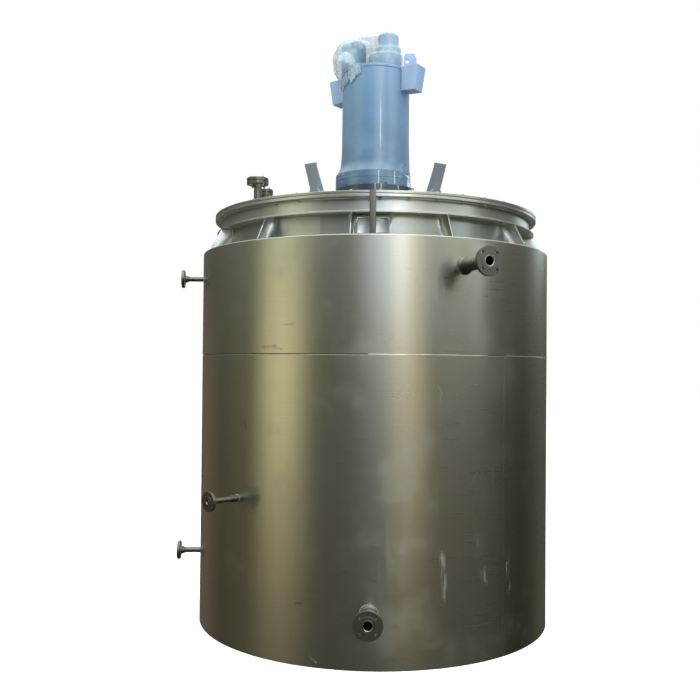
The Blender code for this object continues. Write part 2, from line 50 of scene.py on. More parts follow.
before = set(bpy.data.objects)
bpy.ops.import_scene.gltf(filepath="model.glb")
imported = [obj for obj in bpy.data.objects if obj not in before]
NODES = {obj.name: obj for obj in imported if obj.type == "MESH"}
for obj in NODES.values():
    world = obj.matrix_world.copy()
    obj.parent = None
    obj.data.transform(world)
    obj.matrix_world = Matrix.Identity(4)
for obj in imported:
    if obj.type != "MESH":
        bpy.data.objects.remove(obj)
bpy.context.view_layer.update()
BODY = "root"


def levels(node):
    """Heights of a CAD piece's bottom and top."""
    lowest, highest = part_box(node)
    return lowest.z, highest.z


# Heights and radii of the main turned pieces
JACKET_RADIUS = 1.0
COURSE_SEAM, JACKET_TOP = levels("jacket_upper_1")
VESSEL_RADIUS = 0.865
VESSEL_WALL = 0.008
SKIRT_THICKNESS = 0.015
BAND_BOTTOM, RING_TOP = levels("body_flange")
RING_BOTTOM = RING_TOP - 0.016
RING_RADIUS = 0.936
BAND_RADIUS = 0.900
BAND_LIP_RADIUS = 0.925
RIM_TOP = RING_TOP + 0.0148
COVER_TOP = levels("cover")[1]
SEAT_RADIUS = 0.250
CONE_FOOT_RADIUS = 0.900
CONE_HEAD_RADIUS = 0.270
CONE_HEAD_HEIGHT = COVER_TOP - 0.012

# Gussets on the neck
GUSSET_COUNT = 12
FIRST_GUSSET = -7.1
GUSSET_HALF = 0.0045
GUSSET_FOOT = 0.985

# Lap joints of the jacket's sheets, by course
LAP_BEARINGS = {"lower": (41.6, 221.6), "upper": (101.6, 281.6)}

# Radius of the beads on the neck, the cover and the nozzles
NECK_BEAD = 0.0028
COVER_BEAD = 0.0024
NOZZLE_BEAD = 0.0026

# Angle between faces from which an edge stays sharp
SHARP_ANGLE = math.radians(32.0)

# Side nozzles: bearing, height, flange face, pipe, bore, flange radius, thickness, hub (radius, length),
# bolts (circle, hole) and collar (radius, length)
NOZZLES = {
    "nozzle_front_low": (
        -0.8, 0.272, 1.200, 0.0285, 0.0205, 0.070, 0.018, (0.038, 0.022), (0.0525, 0.007), (0.043, 0.008),
    ),
    "nozzle_right_high": (
        26.2, 1.941, 1.217, 0.0285, 0.0220, 0.071, 0.017, (0.037, 0.018), (0.0560, 0.0075), (0.044, 0.014),
    ),
    "nozzle_left_high": (
        -84.0, 1.946, 1.130, 0.0135, 0.0100, 0.052, 0.018, (0.024, 0.030), (0.0375, 0.007), None,
    ),
    "nozzle_left_mid": (
        -43.5, 0.768, 1.184, 0.0135, 0.0100, 0.050, 0.016, (0.021, 0.018), (0.0365, 0.007), (0.0175, 0.040),
    ),
    "nozzle_left_low": (
        -86.0, 0.364, 1.140, 0.0155, 0.0115, 0.053, 0.018, (0.027, 0.032), (0.0375, 0.007), None,
    ),
}

# Nozzles on the cover: centre, pipe radius and flange radius
COVER_NOZZLES = {
    "cover_nozzle_large": ((-0.695, -0.05), 0.0225, 0.064),
    "cover_nozzle_small": ((-0.671, 0.12), 0.0170, 0.047),
}


def length_setting(name, description, default):
    return FloatProperty(name=name, description=description, default=default, unit="LENGTH")


def colour_setting(name, description, default):
    return FloatVectorProperty(name=name, description=description, default=default, subtype="COLOR")


class SheetSettings(bpy.types.PropertyGroup):
    """Sizes and colours of the stainless sheets and flanges."""

    colour: colour_setting("Sheet colour", "Colour of the stainless sheet", (0.61, 0.59, 0.49))
    roughness: FloatProperty(
        name="Sheet roughness",
        description="Roughness of the brushed finish",
        default=0.28,
        min=0.05,
        max=1.0,
    )
    rim_radius: length_setting("Rim radius", "Rounding of the jacket's rim", 0.006)
    lap_width: length_setting("Lap width", "Width of a lap joint between sheets", 0.022)
    weld_spacing: length_setting("Weld ripple", "Distance between the ripples of a weld", 0.004)


class FlangeSettings(bpy.types.PropertyGroup):
    """Bolts of the body flange."""

    bolt_count: IntProperty(name="Bolts", description="Bolts round the body flange", default=40, min=4)
    bolt_circle: length_setting("Bolt circle", "Radius of the bolt circle", 0.916)
    head_width: length_setting("Head width", "Width across the flats of a bolt head", 0.013)
    first_bearing: FloatProperty(
        name="First bolt",
        description="Bearing of the first bolt",
        default=math.radians(1.6),
        subtype="ANGLE",
    )


class DriveSettings(bpy.types.PropertyGroup):
    """Colours of the drive and its film."""

    paint: colour_setting("Paint", "Enamel of the drive", (0.082, 0.158, 0.240))
    # The ears' enamel is the drive's paint made lighter: painted light.
    ear_paint_painted_light: colour_setting("Ear paint with painted light", "Enamel of the ears", (0.150, 0.225, 0.340))
    pale_paint: colour_setting("Pale paint", "Enamel of the covers on top", (0.17, 0.27, 0.36))
    dark_paint: colour_setting("Dark paint", "Enamel of the base flange", (0.018, 0.035, 0.065))
    film: colour_setting("Film", "Tint of the clear film", (0.25, 0.33, 0.37))


class StageSettings(bpy.types.PropertyGroup):
    """Camera and floor."""

    lens: FloatProperty(name="Lens", description="Focal length", default=44.03, unit="CAMERA")
    distance: length_setting("Distance", "Camera to the tank's axis", 5.0823)
    eye_height: length_setting("Eye height", "Camera over the floor", 1.4398)
    floor: colour_setting("Floor", "Colour of the floor", (0.86, 0.86, 0.85))


SETTINGS = {
    "tank_sheet": SheetSettings,
    "tank_flange": FlangeSettings,
    "tank_drive": DriveSettings,
    "tank_stage": StageSettings,
}


class Nodes:
    """A node tree that is built with short calls."""

    def __init__(self, tree):
        self.tree = tree
        self.given = None
        self.result = None

    def add(self, kind, feed=None, **settings):
        node = self.tree.nodes.new(kind)
        for name, value in settings.items():
            setattr(node, name, value)
        for name, value in (feed or {}).items():
            self.feed(node.inputs[name], value)
        return node

    def made(self, kind, feed=None, **settings):
        """The first output of a new node."""
        return self.add(kind, feed, **settings).outputs[0]

    def feed(self, socket, value):
        if isinstance(value, bpy.types.NodeSocket):
            self.tree.links.new(value, socket)
        else:
            socket.default_value = value

    def math(self, operation, *values, clamp=False):
        node = self.add("ShaderNodeMath", operation=operation, use_clamp=clamp)
        for socket, value in zip(node.inputs, values):
            self.feed(socket, value)
        return node.outputs[0]

    def times(self, first, second):
        return self.math("MULTIPLY", first, second)

    def plus(self, first, second, clamp=False):
        return self.math("ADD", first, second, clamp=clamp)

    def minus(self, first, second):
        return self.math("SUBTRACT", first, second)

    def vector(self, operation, *values):
        node = self.add("ShaderNodeVectorMath", operation=operation)
        for socket, value in zip(node.inputs, values):
            self.feed(socket, value)
        return node.outputs[0]

    def scaled(self, vector, scale):
        """A vector times a triple of scales."""
        return self.vector("MULTIPLY", vector, scale)

    def span(self, value, start, end, low=0.0, high=1.0):
        """Smooth step from low to high while a value goes from start to end."""
        feed = {"Value": value, "From Min": start, "From Max": end, "To Min": low, "To Max": high}
        return self.add("ShaderNodeMapRange", feed, interpolation_type="SMOOTHSTEP").outputs["Result"]

    def noise(self, vector, scale, detail=3.0, roughness=0.5, distortion=0.0):
        feed = {
            "Vector": vector,
            "Scale": scale,
            "Detail": detail,
            "Roughness": roughness,
            "Distortion": distortion,
        }
        return self.add("ShaderNodeTexNoise", feed).outputs["Fac"]

    def bump(self, height, strength, distance, below=None):
        """The normal of a bump, laid over another one where there is one."""
        feed = {"Strength": strength, "Distance": distance, "Height": height}
        if below:
            feed["Normal"] = below
        return self.made("ShaderNodeBump", feed)

    def place(self):
        """Object coordinates, which stay with the metal when a piece moves."""
        return self.add("ShaderNodeTexCoord").outputs["Object"]

    def axes(self, vector):
        return self.add("ShaderNodeSeparateXYZ", {"Vector": vector}).outputs

    def bearing(self, axes):
        """Angle about the upright axis, from the front (-Y) and positive towards +X."""
        return self.math("ARCTAN2", axes["X"], self.times(axes["Y"], -1.0))

    def blend(self, factor, first, second, mode="MIX"):
        node = self.add("ShaderNodeMix", data_type="RGBA", blend_type=mode, clamp_factor=True)
        self.feed(node.inputs["Factor"], factor)
        self.feed(node.inputs[6], first)
        self.feed(node.inputs[7], second)
        return node.outputs[2]

    def set(self, node, **values):
        """Sets a node's inputs by their names, with underscores for spaces."""
        for name, value in values.items():
            self.feed(node.inputs[name.replace("_", " ")], value)

    def random(self, lowest, highest, seed):
        """A random triple between two others."""
        feed = {"Min": lowest, "Max": highest, "Seed": seed}
        return self.made("FunctionNodeRandomValue", feed, data_type="FLOAT_VECTOR")

    def realized(self, instances):
        """Instances as one mesh in the tree's own finish."""
        whole = self.made("GeometryNodeRealizeInstances", {"Geometry": instances})
        return self.made("GeometryNodeSetMaterial", {"Geometry": whole, "Material": self.given["Finish"]})

    def finish(self, **values):
        self.set(self.result, **values)
        return self.tree


def new_tree(name, kind, inputs, outputs):
    """A node group with its sockets, its input node as given and its output node as result."""
    tree = bpy.data.node_groups.new(name, kind)
    for label, socket, default in inputs:
        item = tree.interface.new_socket(label, in_out="INPUT", socket_type=socket)
        if default is not None:
            item.default_value = default
    for label, socket in outputs:
        tree.interface.new_socket(label, in_out="OUTPUT", socket_type=socket)
    nodes = Nodes(tree)
    nodes.given = tree.nodes.new("NodeGroupInput").outputs
    nodes.result = tree.nodes.new("NodeGroupOutput")
    return nodes


def rgba(colour):
    return (colour[0], colour[1], colour[2], 1.0)


FLOAT = "NodeSocketFloat"
VECTOR = "NodeSocketVector"
GEOMETRY = "NodeSocketGeometry"
WHOLE = "NodeSocketInt"
MATERIAL = "NodeSocketMaterial"


def grain_group():
    """Fine grain of brushed sheet: long thin lines round the tank, in three widths and strengths."""
    nodes = new_tree(
        "Brushed grain",
        "ShaderNodeTree",
        [("Vector", VECTOR, None), ("Lines", FLOAT, 60.0), ("Length", FLOAT, 1.2)],
        [("Grain", FLOAT)],
    )
    across = nodes.given["Lines"]
    along = nodes.given["Length"]
    total = 0.0
    for share, weight in ((1.0, 0.30), (3.4, 0.45), (11.0, 0.25)):
        wide = nodes.times(along, share)
        fine = nodes.times(across, share)
        stretch = nodes.made("ShaderNodeCombineXYZ", {"X": wide, "Y": wide, "Z": fine})
        layer = nodes.noise(nodes.scaled(nodes.given["Vector"], stretch), 1.0, detail=2.0)
        total = nodes.plus(total, nodes.times(layer, weight))
    return nodes.finish(Grain=total)


def wear_group():
    """Handling marks: cloudy smudges, scattered fine scratches and drips that run down."""
    nodes = new_tree(
        "Handling marks",
        "ShaderNodeTree",
        [("Vector", VECTOR, None), ("Seed", FLOAT, 0.0)],
        [("Smudge", FLOAT), ("Scratch", FLOAT), ("Drip", FLOAT)],
    )
    seed = nodes.made("ShaderNodeCombineXYZ", {"X": nodes.given["Seed"]})
    place = nodes.vector("ADD", nodes.given["Vector"], seed)
    cloud = nodes.noise(place, 3.1, detail=5.0, roughness=0.62)
    smudge = nodes.span(cloud, 0.50, 0.72)
    scratches = []
    for lean, stretch in ((1.25, (6.0, 6.0, 80.0)), (-0.7, (16.0, 16.0, 60.0))):
        feed = {"Vector": place, "Angle": lean}
        turned = nodes.made("ShaderNodeVectorRotate", feed, rotation_type="Y_AXIS")
        lines = nodes.noise(nodes.scaled(turned, stretch), 1.0, detail=1.0, distortion=0.4)
        thin = nodes.span(nodes.math("ABSOLUTE", nodes.minus(lines, 0.5)), 0.012, 0.0)
        where = nodes.span(nodes.noise(place, 5.3, detail=1.0), 0.64, 0.72)
        scratches.append(nodes.times(thin, where))
    scratch = nodes.math("MAXIMUM", *scratches)
    streak = nodes.noise(nodes.scaled(place, (34.0, 34.0, 1.3)), 1.0, detail=3.0)
    fallen = nodes.span(nodes.noise(place, 2.4, detail=2.0), 0.52, 0.66)
    drip = nodes.times(nodes.span(streak, 0.56, 0.70), fallen)
    return nodes.finish(Smudge=smudge, Scratch=scratch, Drip=drip)


def mark_group():
    """One mark at a bearing and height on the jacket: a soft stroke of a length, width and lean."""
    nodes = new_tree(
        "Placed mark",
        "ShaderNodeTree",
        [
            ("Vector", VECTOR, None),
            ("Bearing", FLOAT, 0.0),
            ("Height", FLOAT, 1.0),
            ("Length", FLOAT, 0.1),
            ("Width", FLOAT, 0.004),
            ("Lean", FLOAT, 0.0),
            ("Break up", FLOAT, 0.0),
        ],
        [("Mask", FLOAT)],
    )
    place = nodes.given["Vector"]
    width = nodes.given["Width"]
    lean = nodes.given["Lean"]
    axes = nodes.axes(place)
    arc = nodes.minus(nodes.bearing(axes), nodes.given["Bearing"])
    rise = nodes.minus(axes["Z"], nodes.given["Height"])
    sine = nodes.math("SINE", lean)
    cosine = nodes.math("COSINE", lean)
    along = nodes.plus(nodes.times(arc, cosine), nodes.times(rise, sine))
    aside = nodes.minus(nodes.times(rise, cosine), nodes.times(arc, sine))
    wobble = nodes.minus(nodes.noise(place, 9.0, detail=2.0), 0.5)
    aside = nodes.plus(aside, nodes.times(wobble, width))
    half = nodes.times(nodes.given["Length"], 0.5)
    ends = nodes.span(nodes.math("ABSOLUTE", along), half, nodes.times(half, 0.6))
    sides = nodes.span(nodes.math("ABSOLUTE", aside), width, 0.0)
    streaks = nodes.noise(nodes.scaled(place, (95.0, 95.0, 9.0)), 1.0, detail=3.0, distortion=0.2)
    gaps = nodes.times(nodes.given["Break up"], nodes.span(streaks, 0.64, 0.44))
    return nodes.finish(Mask=nodes.times(nodes.times(ends, sides), nodes.minus(1.0, gaps)))


def get_group(name, build):
    return bpy.data.node_groups.get(name) or build()


def place_group(nodes, name, build, feed):
    """Puts a shared effect into a material with its own values, and gives its outputs."""
    return nodes.add("ShaderNodeGroup", feed, node_tree=get_group(name, build)).outputs


def new_material(name):
    material = bpy.data.materials.new(name)
    material.use_nodes = True
    nodes = Nodes(material.node_tree)
    shader = material.node_tree.nodes["Principled BSDF"]
    return material, nodes, shader


# Marks that show on the jacket: bearing and height, length, half width, lean in degrees, break-up
DARK_MARKS = (
    (-24.5, 1.648, 0.070, 0.004, 2.0, 0.0),
    (-31.0, 1.540, 0.100, 0.012, 4.0, 0.5),
    (-28.0, 1.530, 0.060, 0.010, -12.0, 0.5),
    (-40.2, 1.143, 0.060, 0.004, -62.0, 0.0),
    (-20.5, 0.300, 0.050, 0.010, 12.0, 0.6),
)
PALE_MARKS = (
    (17.3, 1.816, 0.200, 0.0035, -87.0, 0.4),
    (19.5, 1.829, 0.120, 0.0030, -80.0, 0.4),
    (18.6, 1.338, 0.060, 0.0030, -58.0, 0.2),
    (19.0, 1.300, 0.050, 0.0030, 70.0, 0.2),
    (20.2, 0.430, 0.300, 0.0260, -85.0, 1.0),
    (32.6, 0.500, 0.320, 0.0420, -77.0, 1.0),
    (42.8, 0.420, 0.260, 0.0280, -82.0, 1.0),
    (-16.2, 0.037, 0.060, 0.0100, -38.0, 0.6),
)
# A pale level line along the joint of the drive's casting and barrel, on its right side.
PAINT_MARKS = ((65.0, 2.553, 0.520, 0.0030, -2.2, 0.0),)


def marks_mask(nodes, vector, marks):
    """The strongest of a list of placed marks."""
    total = 0.0
    for bearing, height, length, width, lean, torn in marks:
        feed = {
            "Vector": vector,
            "Bearing": math.radians(bearing),
            "Height": height,
            "Length": length,
            "Width": width,
            "Lean": math.radians(lean),
            "Break up": torn,
        }
        mask = place_group(nodes, "Placed mark", mark_group, feed)["Mask"]
        total = nodes.math("MAXIMUM", total, mask)
    return total


def around_axis(nodes, vector):
    """Tangent that spreads reflections across the grain on anything turned about the tank's axis."""
    flat = nodes.scaled(vector, (1.0, 1.0, 0.0))
    round_about = nodes.vector("CROSS_PRODUCT", (0.0, 0.0, 1.0), flat)
    normal = nodes.add("ShaderNodeNewGeometry").outputs["Normal"]
    return nodes.vector("NORMALIZE", nodes.vector("CROSS_PRODUCT", normal, round_about))


def steel_material(
    name,
    colour,
    roughness,
    anisotropy=0.0,
    lines=60.0,
    grain=0.06,
    smudge=0.12,
    seed=0.0,
    soot=(0.10, 0.085, 0.065),
    bump=0.00004,
    placed=False,
    ripple=0.0,
    metal=1.0,
):
    """Stainless steel with brushed grain, smudges, scratches, drips and a trace of tarnish."""
    material, nodes, shader = new_material(name)
    place = nodes.place()
    lined = place_group(nodes, "Brushed grain", grain_group, {"Vector": place, "Lines": lines})["Grain"]
    wear = place_group(nodes, "Handling marks", wear_group, {"Vector": place, "Seed": seed})
    shaded = [c * 0.78 for c in colour]
    warm = [colour[0] * 1.03, colour[1] * 0.98, colour[2] * 0.88]
    pale = [min(1.0, c * 1.25) for c in colour]
    cloud = nodes.noise(place, 1.4, detail=4.0, roughness=0.6)
    base = nodes.blend(nodes.times(lined, 0.25), rgba(colour), rgba(shaded))
    base = nodes.blend(nodes.span(cloud, 0.35, 0.7, 0.0, 0.7), base, rgba(warm))
    base = nodes.blend(nodes.times(wear["Smudge"], smudge), base, rgba(soot))
    base = nodes.blend(nodes.times(wear["Scratch"], 0.12), base, rgba(pale))
    rough = nodes.plus(roughness, nodes.times(nodes.minus(lined, 0.5), grain))
    rough = nodes.plus(rough, nodes.times(wear["Smudge"], 0.10))
    rough = nodes.plus(rough, nodes.times(wear["Drip"], 0.03), clamp=True)
    if placed:
        dark = marks_mask(nodes, place, DARK_MARKS)
        light = marks_mask(nodes, place, PALE_MARKS)
        base = nodes.blend(nodes.times(dark, 0.55), base, rgba(soot))
        base = nodes.blend(nodes.times(light, 0.22), base, (0.72, 0.73, 0.66, 1.0))
        rough = nodes.plus(rough, nodes.times(light, 0.12), clamp=True)
        metal = nodes.span(light, 0.0, 1.0, metal, metal - 0.06)
    height = nodes.plus(lined, nodes.times(wear["Scratch"], -0.1))
    normal = nodes.bump(height, 0.6, bump)
    if ripple:
        wave = nodes.noise(nodes.scaled(place, (1.0, 1.0, 0.55)), 1.7, detail=1.0)
        normal = nodes.bump(wave, 1.0, ripple, normal)
    nodes.set(shader, Base_Color=base, Roughness=rough, Metallic=metal, Normal=normal)
    if anisotropy:
        nodes.set(shader, Anisotropic=anisotropy, Tangent=around_axis(nodes, place))
    return material


def enamel_material(name, colour, roughness, haze, seed, split=False):
    """Gloss enamel with orange peel, dust that settles in clouds, runs and fine scratches, with painted
    shade towards the bottom of the drive and painted light towards its top.

    A split adds a pale upright line on the front of the base flange.
    """
    material, nodes, shader = new_material(name)
    place = nodes.place()
    axes = nodes.axes(place)
    wear = place_group(nodes, "Handling marks", wear_group, {"Vector": place, "Seed": seed})
    deep = [c * 0.82 for c in colour]
    shade = [c * 0.4 for c in colour]
    dust = [min(1.0, c * 1.25 + 0.03) for c in colour]
    cloud = nodes.noise(place, 7.0, detail=4.0, roughness=0.6)
    base = nodes.blend(nodes.span(cloud, 0.35, 0.7), rgba(deep), rgba(colour))
    # Painted shade darkens the paint towards the bottom of the drive, and painted light lightens it towards
    # the top in the dust colour.
    base = nodes.blend(nodes.span(axes["Z"], 2.50, 2.95, 0.5, 0.0), base, rgba(shade))
    base = nodes.blend(nodes.span(axes["Z"], 2.55, 3.35, 0.0, 0.45), base, rgba(dust))
    base = nodes.blend(nodes.times(wear["Smudge"], haze), base, rgba(dust))
    # A pale level line along the joint of the casting and barrel.
    pale_joint_line = marks_mask(nodes, place, PAINT_MARKS)
    scratches_and_pale_line = nodes.math("MAXIMUM", nodes.times(wear["Scratch"], 0.4), pale_joint_line)
    base = nodes.blend(scratches_and_pale_line, base, (0.50, 0.58, 0.64, 1.0))
    # A pale upright line on the front of the base flange.
    if split:
        line = nodes.span(nodes.math("ABSOLUTE", axes["X"]), 0.0030, 0.0012)
        front = nodes.span(axes["Y"], -0.15, -0.20)
        base = nodes.blend(nodes.times(line, front), base, (0.30, 0.33, 0.36, 1.0))
    rough = nodes.plus(roughness, nodes.times(wear["Smudge"], 0.15))
    peel = nodes.noise(place, 160.0, detail=2.0)
    run = nodes.noise(nodes.scaled(place, (24.0, 24.0, 3.0)), 1.0, detail=2.0)
    normal = nodes.bump(run, 0.25, 0.0015, nodes.bump(peel, 0.15, 0.001))
    nodes.set(shader, Base_Color=base, Roughness=rough, Normal=normal, Coat_Weight=1.0, Coat_Roughness=0.05)
    return material


def film_material(name, colour):
    """Clear plastic film: mostly seen through, whiter and duller along its creases."""
    material, nodes, shader = new_material(name)
    place = nodes.place()
    pale = [min(1.0, c * 1.18) for c in colour]
    crease = nodes.noise(place, 28.0, detail=5.0, roughness=0.65, distortion=0.6)
    fold = nodes.span(nodes.math("ABSOLUTE", nodes.minus(crease, 0.5)), 0.10, 0.0)
    cloud = nodes.noise(place, 9.0, detail=3.0)
    nodes.set(
        shader,
        Base_Color=nodes.blend(nodes.span(cloud, 0.35, 0.65), rgba(colour), rgba(pale)),
        Alpha=nodes.plus(nodes.span(cloud, 0.35, 0.7, 0.24, 0.50), nodes.times(fold, 0.2), clamp=True),
        Normal=nodes.bump(crease, 0.25, 0.003),
        Roughness=nodes.span(cloud, 0.3, 0.7, 0.08, 0.22),
        IOR=1.5,
    )
    return material


def rubber_material(name):
    """Dark gasket with a dusty, slightly uneven face."""
    material, nodes, shader = new_material(name)
    dust = nodes.noise(nodes.place(), 60.0, detail=4.0)
    nodes.set(
        shader,
        Base_Color=nodes.blend(dust, (0.020, 0.020, 0.018, 1.0), (0.06, 0.06, 0.055, 1.0)),
        Roughness=nodes.span(dust, 0.2, 0.8, 0.55, 0.85),
        Normal=nodes.bump(dust, 0.3, 0.0005),
    )
    return material


def make_materials(scene):
    """Every finish of the tank, by a short name."""
    sheet = scene.tank_sheet
    drive = scene.tank_drive
    colour = list(sheet.colour)
    return {
        "jacket": steel_material(
            "jacket_brushed_steel",
            colour,
            sheet.roughness,
            0.44,
            lines=46.0,
            bump=0.00008,
            placed=True,
            ripple=0.004,
        ),
        "neck": steel_material(
            "neck_rolled_steel", [0.54, 0.57, 0.55], 0.34, 0.4, lines=90.0, seed=3.0, smudge=0.2, grain=0.03
        ),
        "flange": steel_material(
            "flange_turned_steel",
            [0.66, 0.67, 0.64],
            0.33,
            0.5,
            lines=140.0,
            seed=7.0,
            smudge=0.16,
            grain=0.03,
        ),
        "cover": steel_material("cover_brushed_steel", colour, 0.32, 0.4, seed=5.0, ripple=0.002),
        "plate": steel_material(
            "plate_sheared_steel", [0.33, 0.38, 0.47], 0.34, lines=80.0, seed=11.0, smudge=0.3, metal=0.7
        ),
        "nozzle": steel_material(
            "nozzle_forged_steel",
            [0.21, 0.205, 0.175],
            0.40,
            lines=150.0,
            seed=13.0,
            smudge=0.6,
            soot=(0.10, 0.075, 0.045),
        ),
        "pipe": steel_material("pipe_polished_steel", colour, 0.16, lines=220.0, seed=17.0, smudge=0.15),
        "bolt": steel_material(
            "bolt_bright_steel", [0.56, 0.56, 0.54], 0.42, lines=300.0, seed=19.0, smudge=0.15
        ),
        "weld": steel_material(
            "weld_bead_steel", [0.52, 0.50, 0.45], 0.30, lines=200.0, seed=23.0, smudge=0.4
        ),
        "paint": enamel_material("drive_blue_enamel", list(drive.paint), 0.30, 0.35, 2.0),
        # Painted light: the ears and the eye plate get a lighter copy of the drive's enamel.
        "ear_paint_painted_light": enamel_material("ear_blue_enamel_painted_light", list(drive.ear_paint_painted_light), 0.30, 0.5, 9.0),
        "pale_paint": enamel_material("cover_pale_enamel", list(drive.pale_paint), 0.32, 0.6, 4.0),
        "dark_paint": enamel_material(
            "base_dark_enamel", list(drive.dark_paint), 0.35, 0.4, 6.0, split=True
        ),
        "film": film_material("clear_wrapping_film", list(drive.film)),
        "rubber": rubber_material("gasket_dark_rubber"),
    }


FINISHES = {}


def finish_of(name):
    """A finish by its short name. All of them are made when the first one is asked for."""
    if not FINISHES:
        FINISHES.update(make_materials(bpy.context.scene))
    return FINISHES[name]


def filleted(corners):
    """A closed outline from its (radius, height, rounding) corners, where 0 leaves a corner sharp."""
    steps = 4
    made = []
    points = [Vector(corner[:2]) for corner in corners]
    for index, (here, corner) in enumerate(zip(points, corners)):
        rounding = corner[2]
        if rounding <= 0.0:
            made.append(here)
            continue
        back = (points[index - 1] - here).normalized()
        ahead = (points[(index + 1) % len(points)] - here).normalized()
        half = math.acos(max(-1.0, min(1.0, back.dot(ahead)))) / 2
        reach = rounding / math.tan(half)
        centre = here + (back + ahead).normalized() * (rounding / math.sin(half))
        start = here + back * reach - centre
        end = here + ahead * reach - centre
        for step in range(steps + 1):
            spoke = start.lerp(end, step / steps).normalized() * rounding
            made.append(centre + spoke)
    return made


def disc(radius, bottom, top, below, above):
    """The corners of a solid disc with the roundings of its two edges."""
    return [(0, bottom, 0), (radius, bottom, below), (radius, top, above), (0, top, 0)]


def turned_mesh(profile, steps, sweep=None):
    """Spins a closed (radius, height) outline about the Z axis, or over a sweep of bearings in degrees."""
    shape = bmesh.new()
    start, end = sweep or (0.0, 360.0)
    whole = sweep is None
    rings = []
    for step in range(steps if whole else steps + 1):
        turn = math.radians(start + (end - start) * step / steps)
        across, ahead = math.sin(turn), -math.cos(turn)
        rings.append([shape.verts.new((radius * across, radius * ahead, up)) for radius, up in profile])
    pairs = list(zip(rings, rings[1:]))
    if whole:
        pairs.append((rings[-1], rings[0]))
    for near, far in pairs:
        for index in range(len(profile)):
            after = (index + 1) % len(profile)
            if profile[index][0] == 0.0 and profile[after][0] == 0.0:
                continue
            shape.faces.new((near[index], near[after], far[after], far[index]))
    if not whole:
        shape.faces.new(rings[0])
        shape.faces.new(rings[-1])
    bmesh.ops.remove_doubles(shape, verts=shape.verts, dist=1e-6)
    return shape


def spun(corners, steps, sweep=None):
    """A turned shape with rounded corners."""
    return turned_mesh(filleted(corners), steps, sweep)


def moved(shape, matrix):
    bmesh.ops.transform(shape, matrix=matrix, verts=shape.verts)
    return shape


def on_bearing(bearing):
    """Turns what faces the front round the tank's axis to a bearing."""
    return Matrix.Rotation(math.radians(bearing), 4, "Z")


def linked(name, data):
    """A new object of the scene that holds this data."""
    obj = bpy.data.objects.new(name, data)
    bpy.context.scene.collection.objects.link(obj)
    return obj


def smooth(mesh):
    """Shades a mesh smooth, with its sharp edges kept."""
    mesh.shade_smooth()
    mesh.set_sharp_from_angle(angle=SHARP_ANGLE)


def add_mesh(name, shape):
    """Turns a bmesh into a smooth object with sharp edges and outward faces."""
    bmesh.ops.recalc_face_normals(shape, faces=shape.faces)
    mesh = bpy.data.meshes.new(name)
    shape.to_mesh(mesh)
    shape.free()
    smooth(mesh)
    return linked(name, mesh)


def even_shading(obj):
    """Keeps wide faces flat beside their rounded edges."""
    modifier = obj.modifiers.new("even_shading", "WEIGHTED_NORMAL")
    modifier.keep_sharp = True
    modifier.weight = 100


def seat(obj, material, replaced=()):
    """Gives a new piece its finish and its body, and hides the CAD parts that it replaces."""
    obj.data.materials.clear()
    obj.data.materials.append(finish_of(material))
    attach(obj, BODY)
    if replaced:
        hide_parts(*replaced)
    return obj


def add_piece(name, shape, material, replaced=()):
    """A new piece whose wide faces stay flat beside their rounded edges."""
    obj = add_mesh(name, shape)
    even_shading(obj)
    return seat(obj, material, replaced)


def boolean(target, operation, shape):
    """Cuts or joins a helper shape and makes the result a plain mesh."""
    tool = add_mesh("tool", shape)
    modifier = target.modifiers.new("boolean", "BOOLEAN")
    modifier.operation = operation
    modifier.solver = "EXACT"
    modifier.object = tool
    plain(target)
    bpy.data.objects.remove(tool, do_unlink=True)


def evaluated_mesh(obj):
    """A plain mesh of what an object's modifiers make of it."""
    graph = bpy.context.evaluated_depsgraph_get()
    return bpy.data.meshes.new_from_object(obj.evaluated_get(graph))


def plain(obj):
    """Replaces an object's mesh by its evaluated one and removes its modifiers."""
    mesh = evaluated_mesh(obj)
    old = obj.data
    obj.modifiers.clear()
    obj.data = mesh
    bpy.data.meshes.remove(old)
    smooth(mesh)


def node_shape(obj, tree, values):
    """Runs a Geometry Nodes tree on an object with named values and keeps the plain result."""
    modifier = obj.modifiers.new(tree.name, "NODES")
    modifier.node_group = tree
    for item in tree.interface.items_tree:
        if item.item_type == "SOCKET" and item.in_out == "INPUT" and item.name in values:
            modifier[item.identifier] = values[item.name]
    name = obj.name
    mesh = evaluated_mesh(obj)
    bpy.data.objects.remove(obj, do_unlink=True)
    mesh.name = name
    return linked(name, mesh)


def lines_object(name, lines):
    """A curve object of straight-sided lines through lists of points."""
    curve = bpy.data.curves.new(name, "CURVE")
    curve.dimensions = "3D"
    for line in lines:
        spline = curve.splines.new("POLY")
        spline.points.add(len(line) - 1)
        for point, place in zip(spline.points, line):
            point.co = (*place, 1.0)
    return linked(name, curve)


def weld_tree():
    """Weld bead along curves: flattened ripples, each a little different."""
    nodes = new_tree(
        "Weld bead",
        "GeometryNodeTree",
        [
            ("Geometry", GEOMETRY, None),
            ("Spacing", FLOAT, 0.004),
            ("Bead radius", FLOAT, 0.003),
            ("Seed", WHOLE, 5),
            ("Finish", MATERIAL, None),
        ],
        [("Geometry", GEOMETRY)],
    )
    given = nodes.given
    points = nodes.made(
        "GeometryNodeResampleCurve", {"Curve": given["Geometry"], "Length": given["Spacing"]}, mode="LENGTH"
    )
    ripple = nodes.made("GeometryNodeMeshUVSphere", {"Radius": 1.0, "Segments": 8, "Rings": 5})
    ripple = nodes.made("GeometryNodeSetShadeSmooth", {"Geometry": ripple})
    tangent = nodes.made("GeometryNodeInputTangent")
    turn = nodes.made("FunctionNodeAlignRotationToVector", {"Vector": tangent}, axis="Z")
    vary = nodes.random((0.86, 0.86, 0.55), (1.12, 1.12, 0.8), given["Seed"])
    size = {"Vector": vary, "Scale": given["Bead radius"]}
    size = nodes.made("ShaderNodeVectorMath", size, operation="SCALE")
    beads = {"Points": points, "Instance": ripple, "Rotation": turn, "Scale": size}
    return nodes.finish(Geometry=nodes.realized(nodes.made("GeometryNodeInstanceOnPoints", beads)))


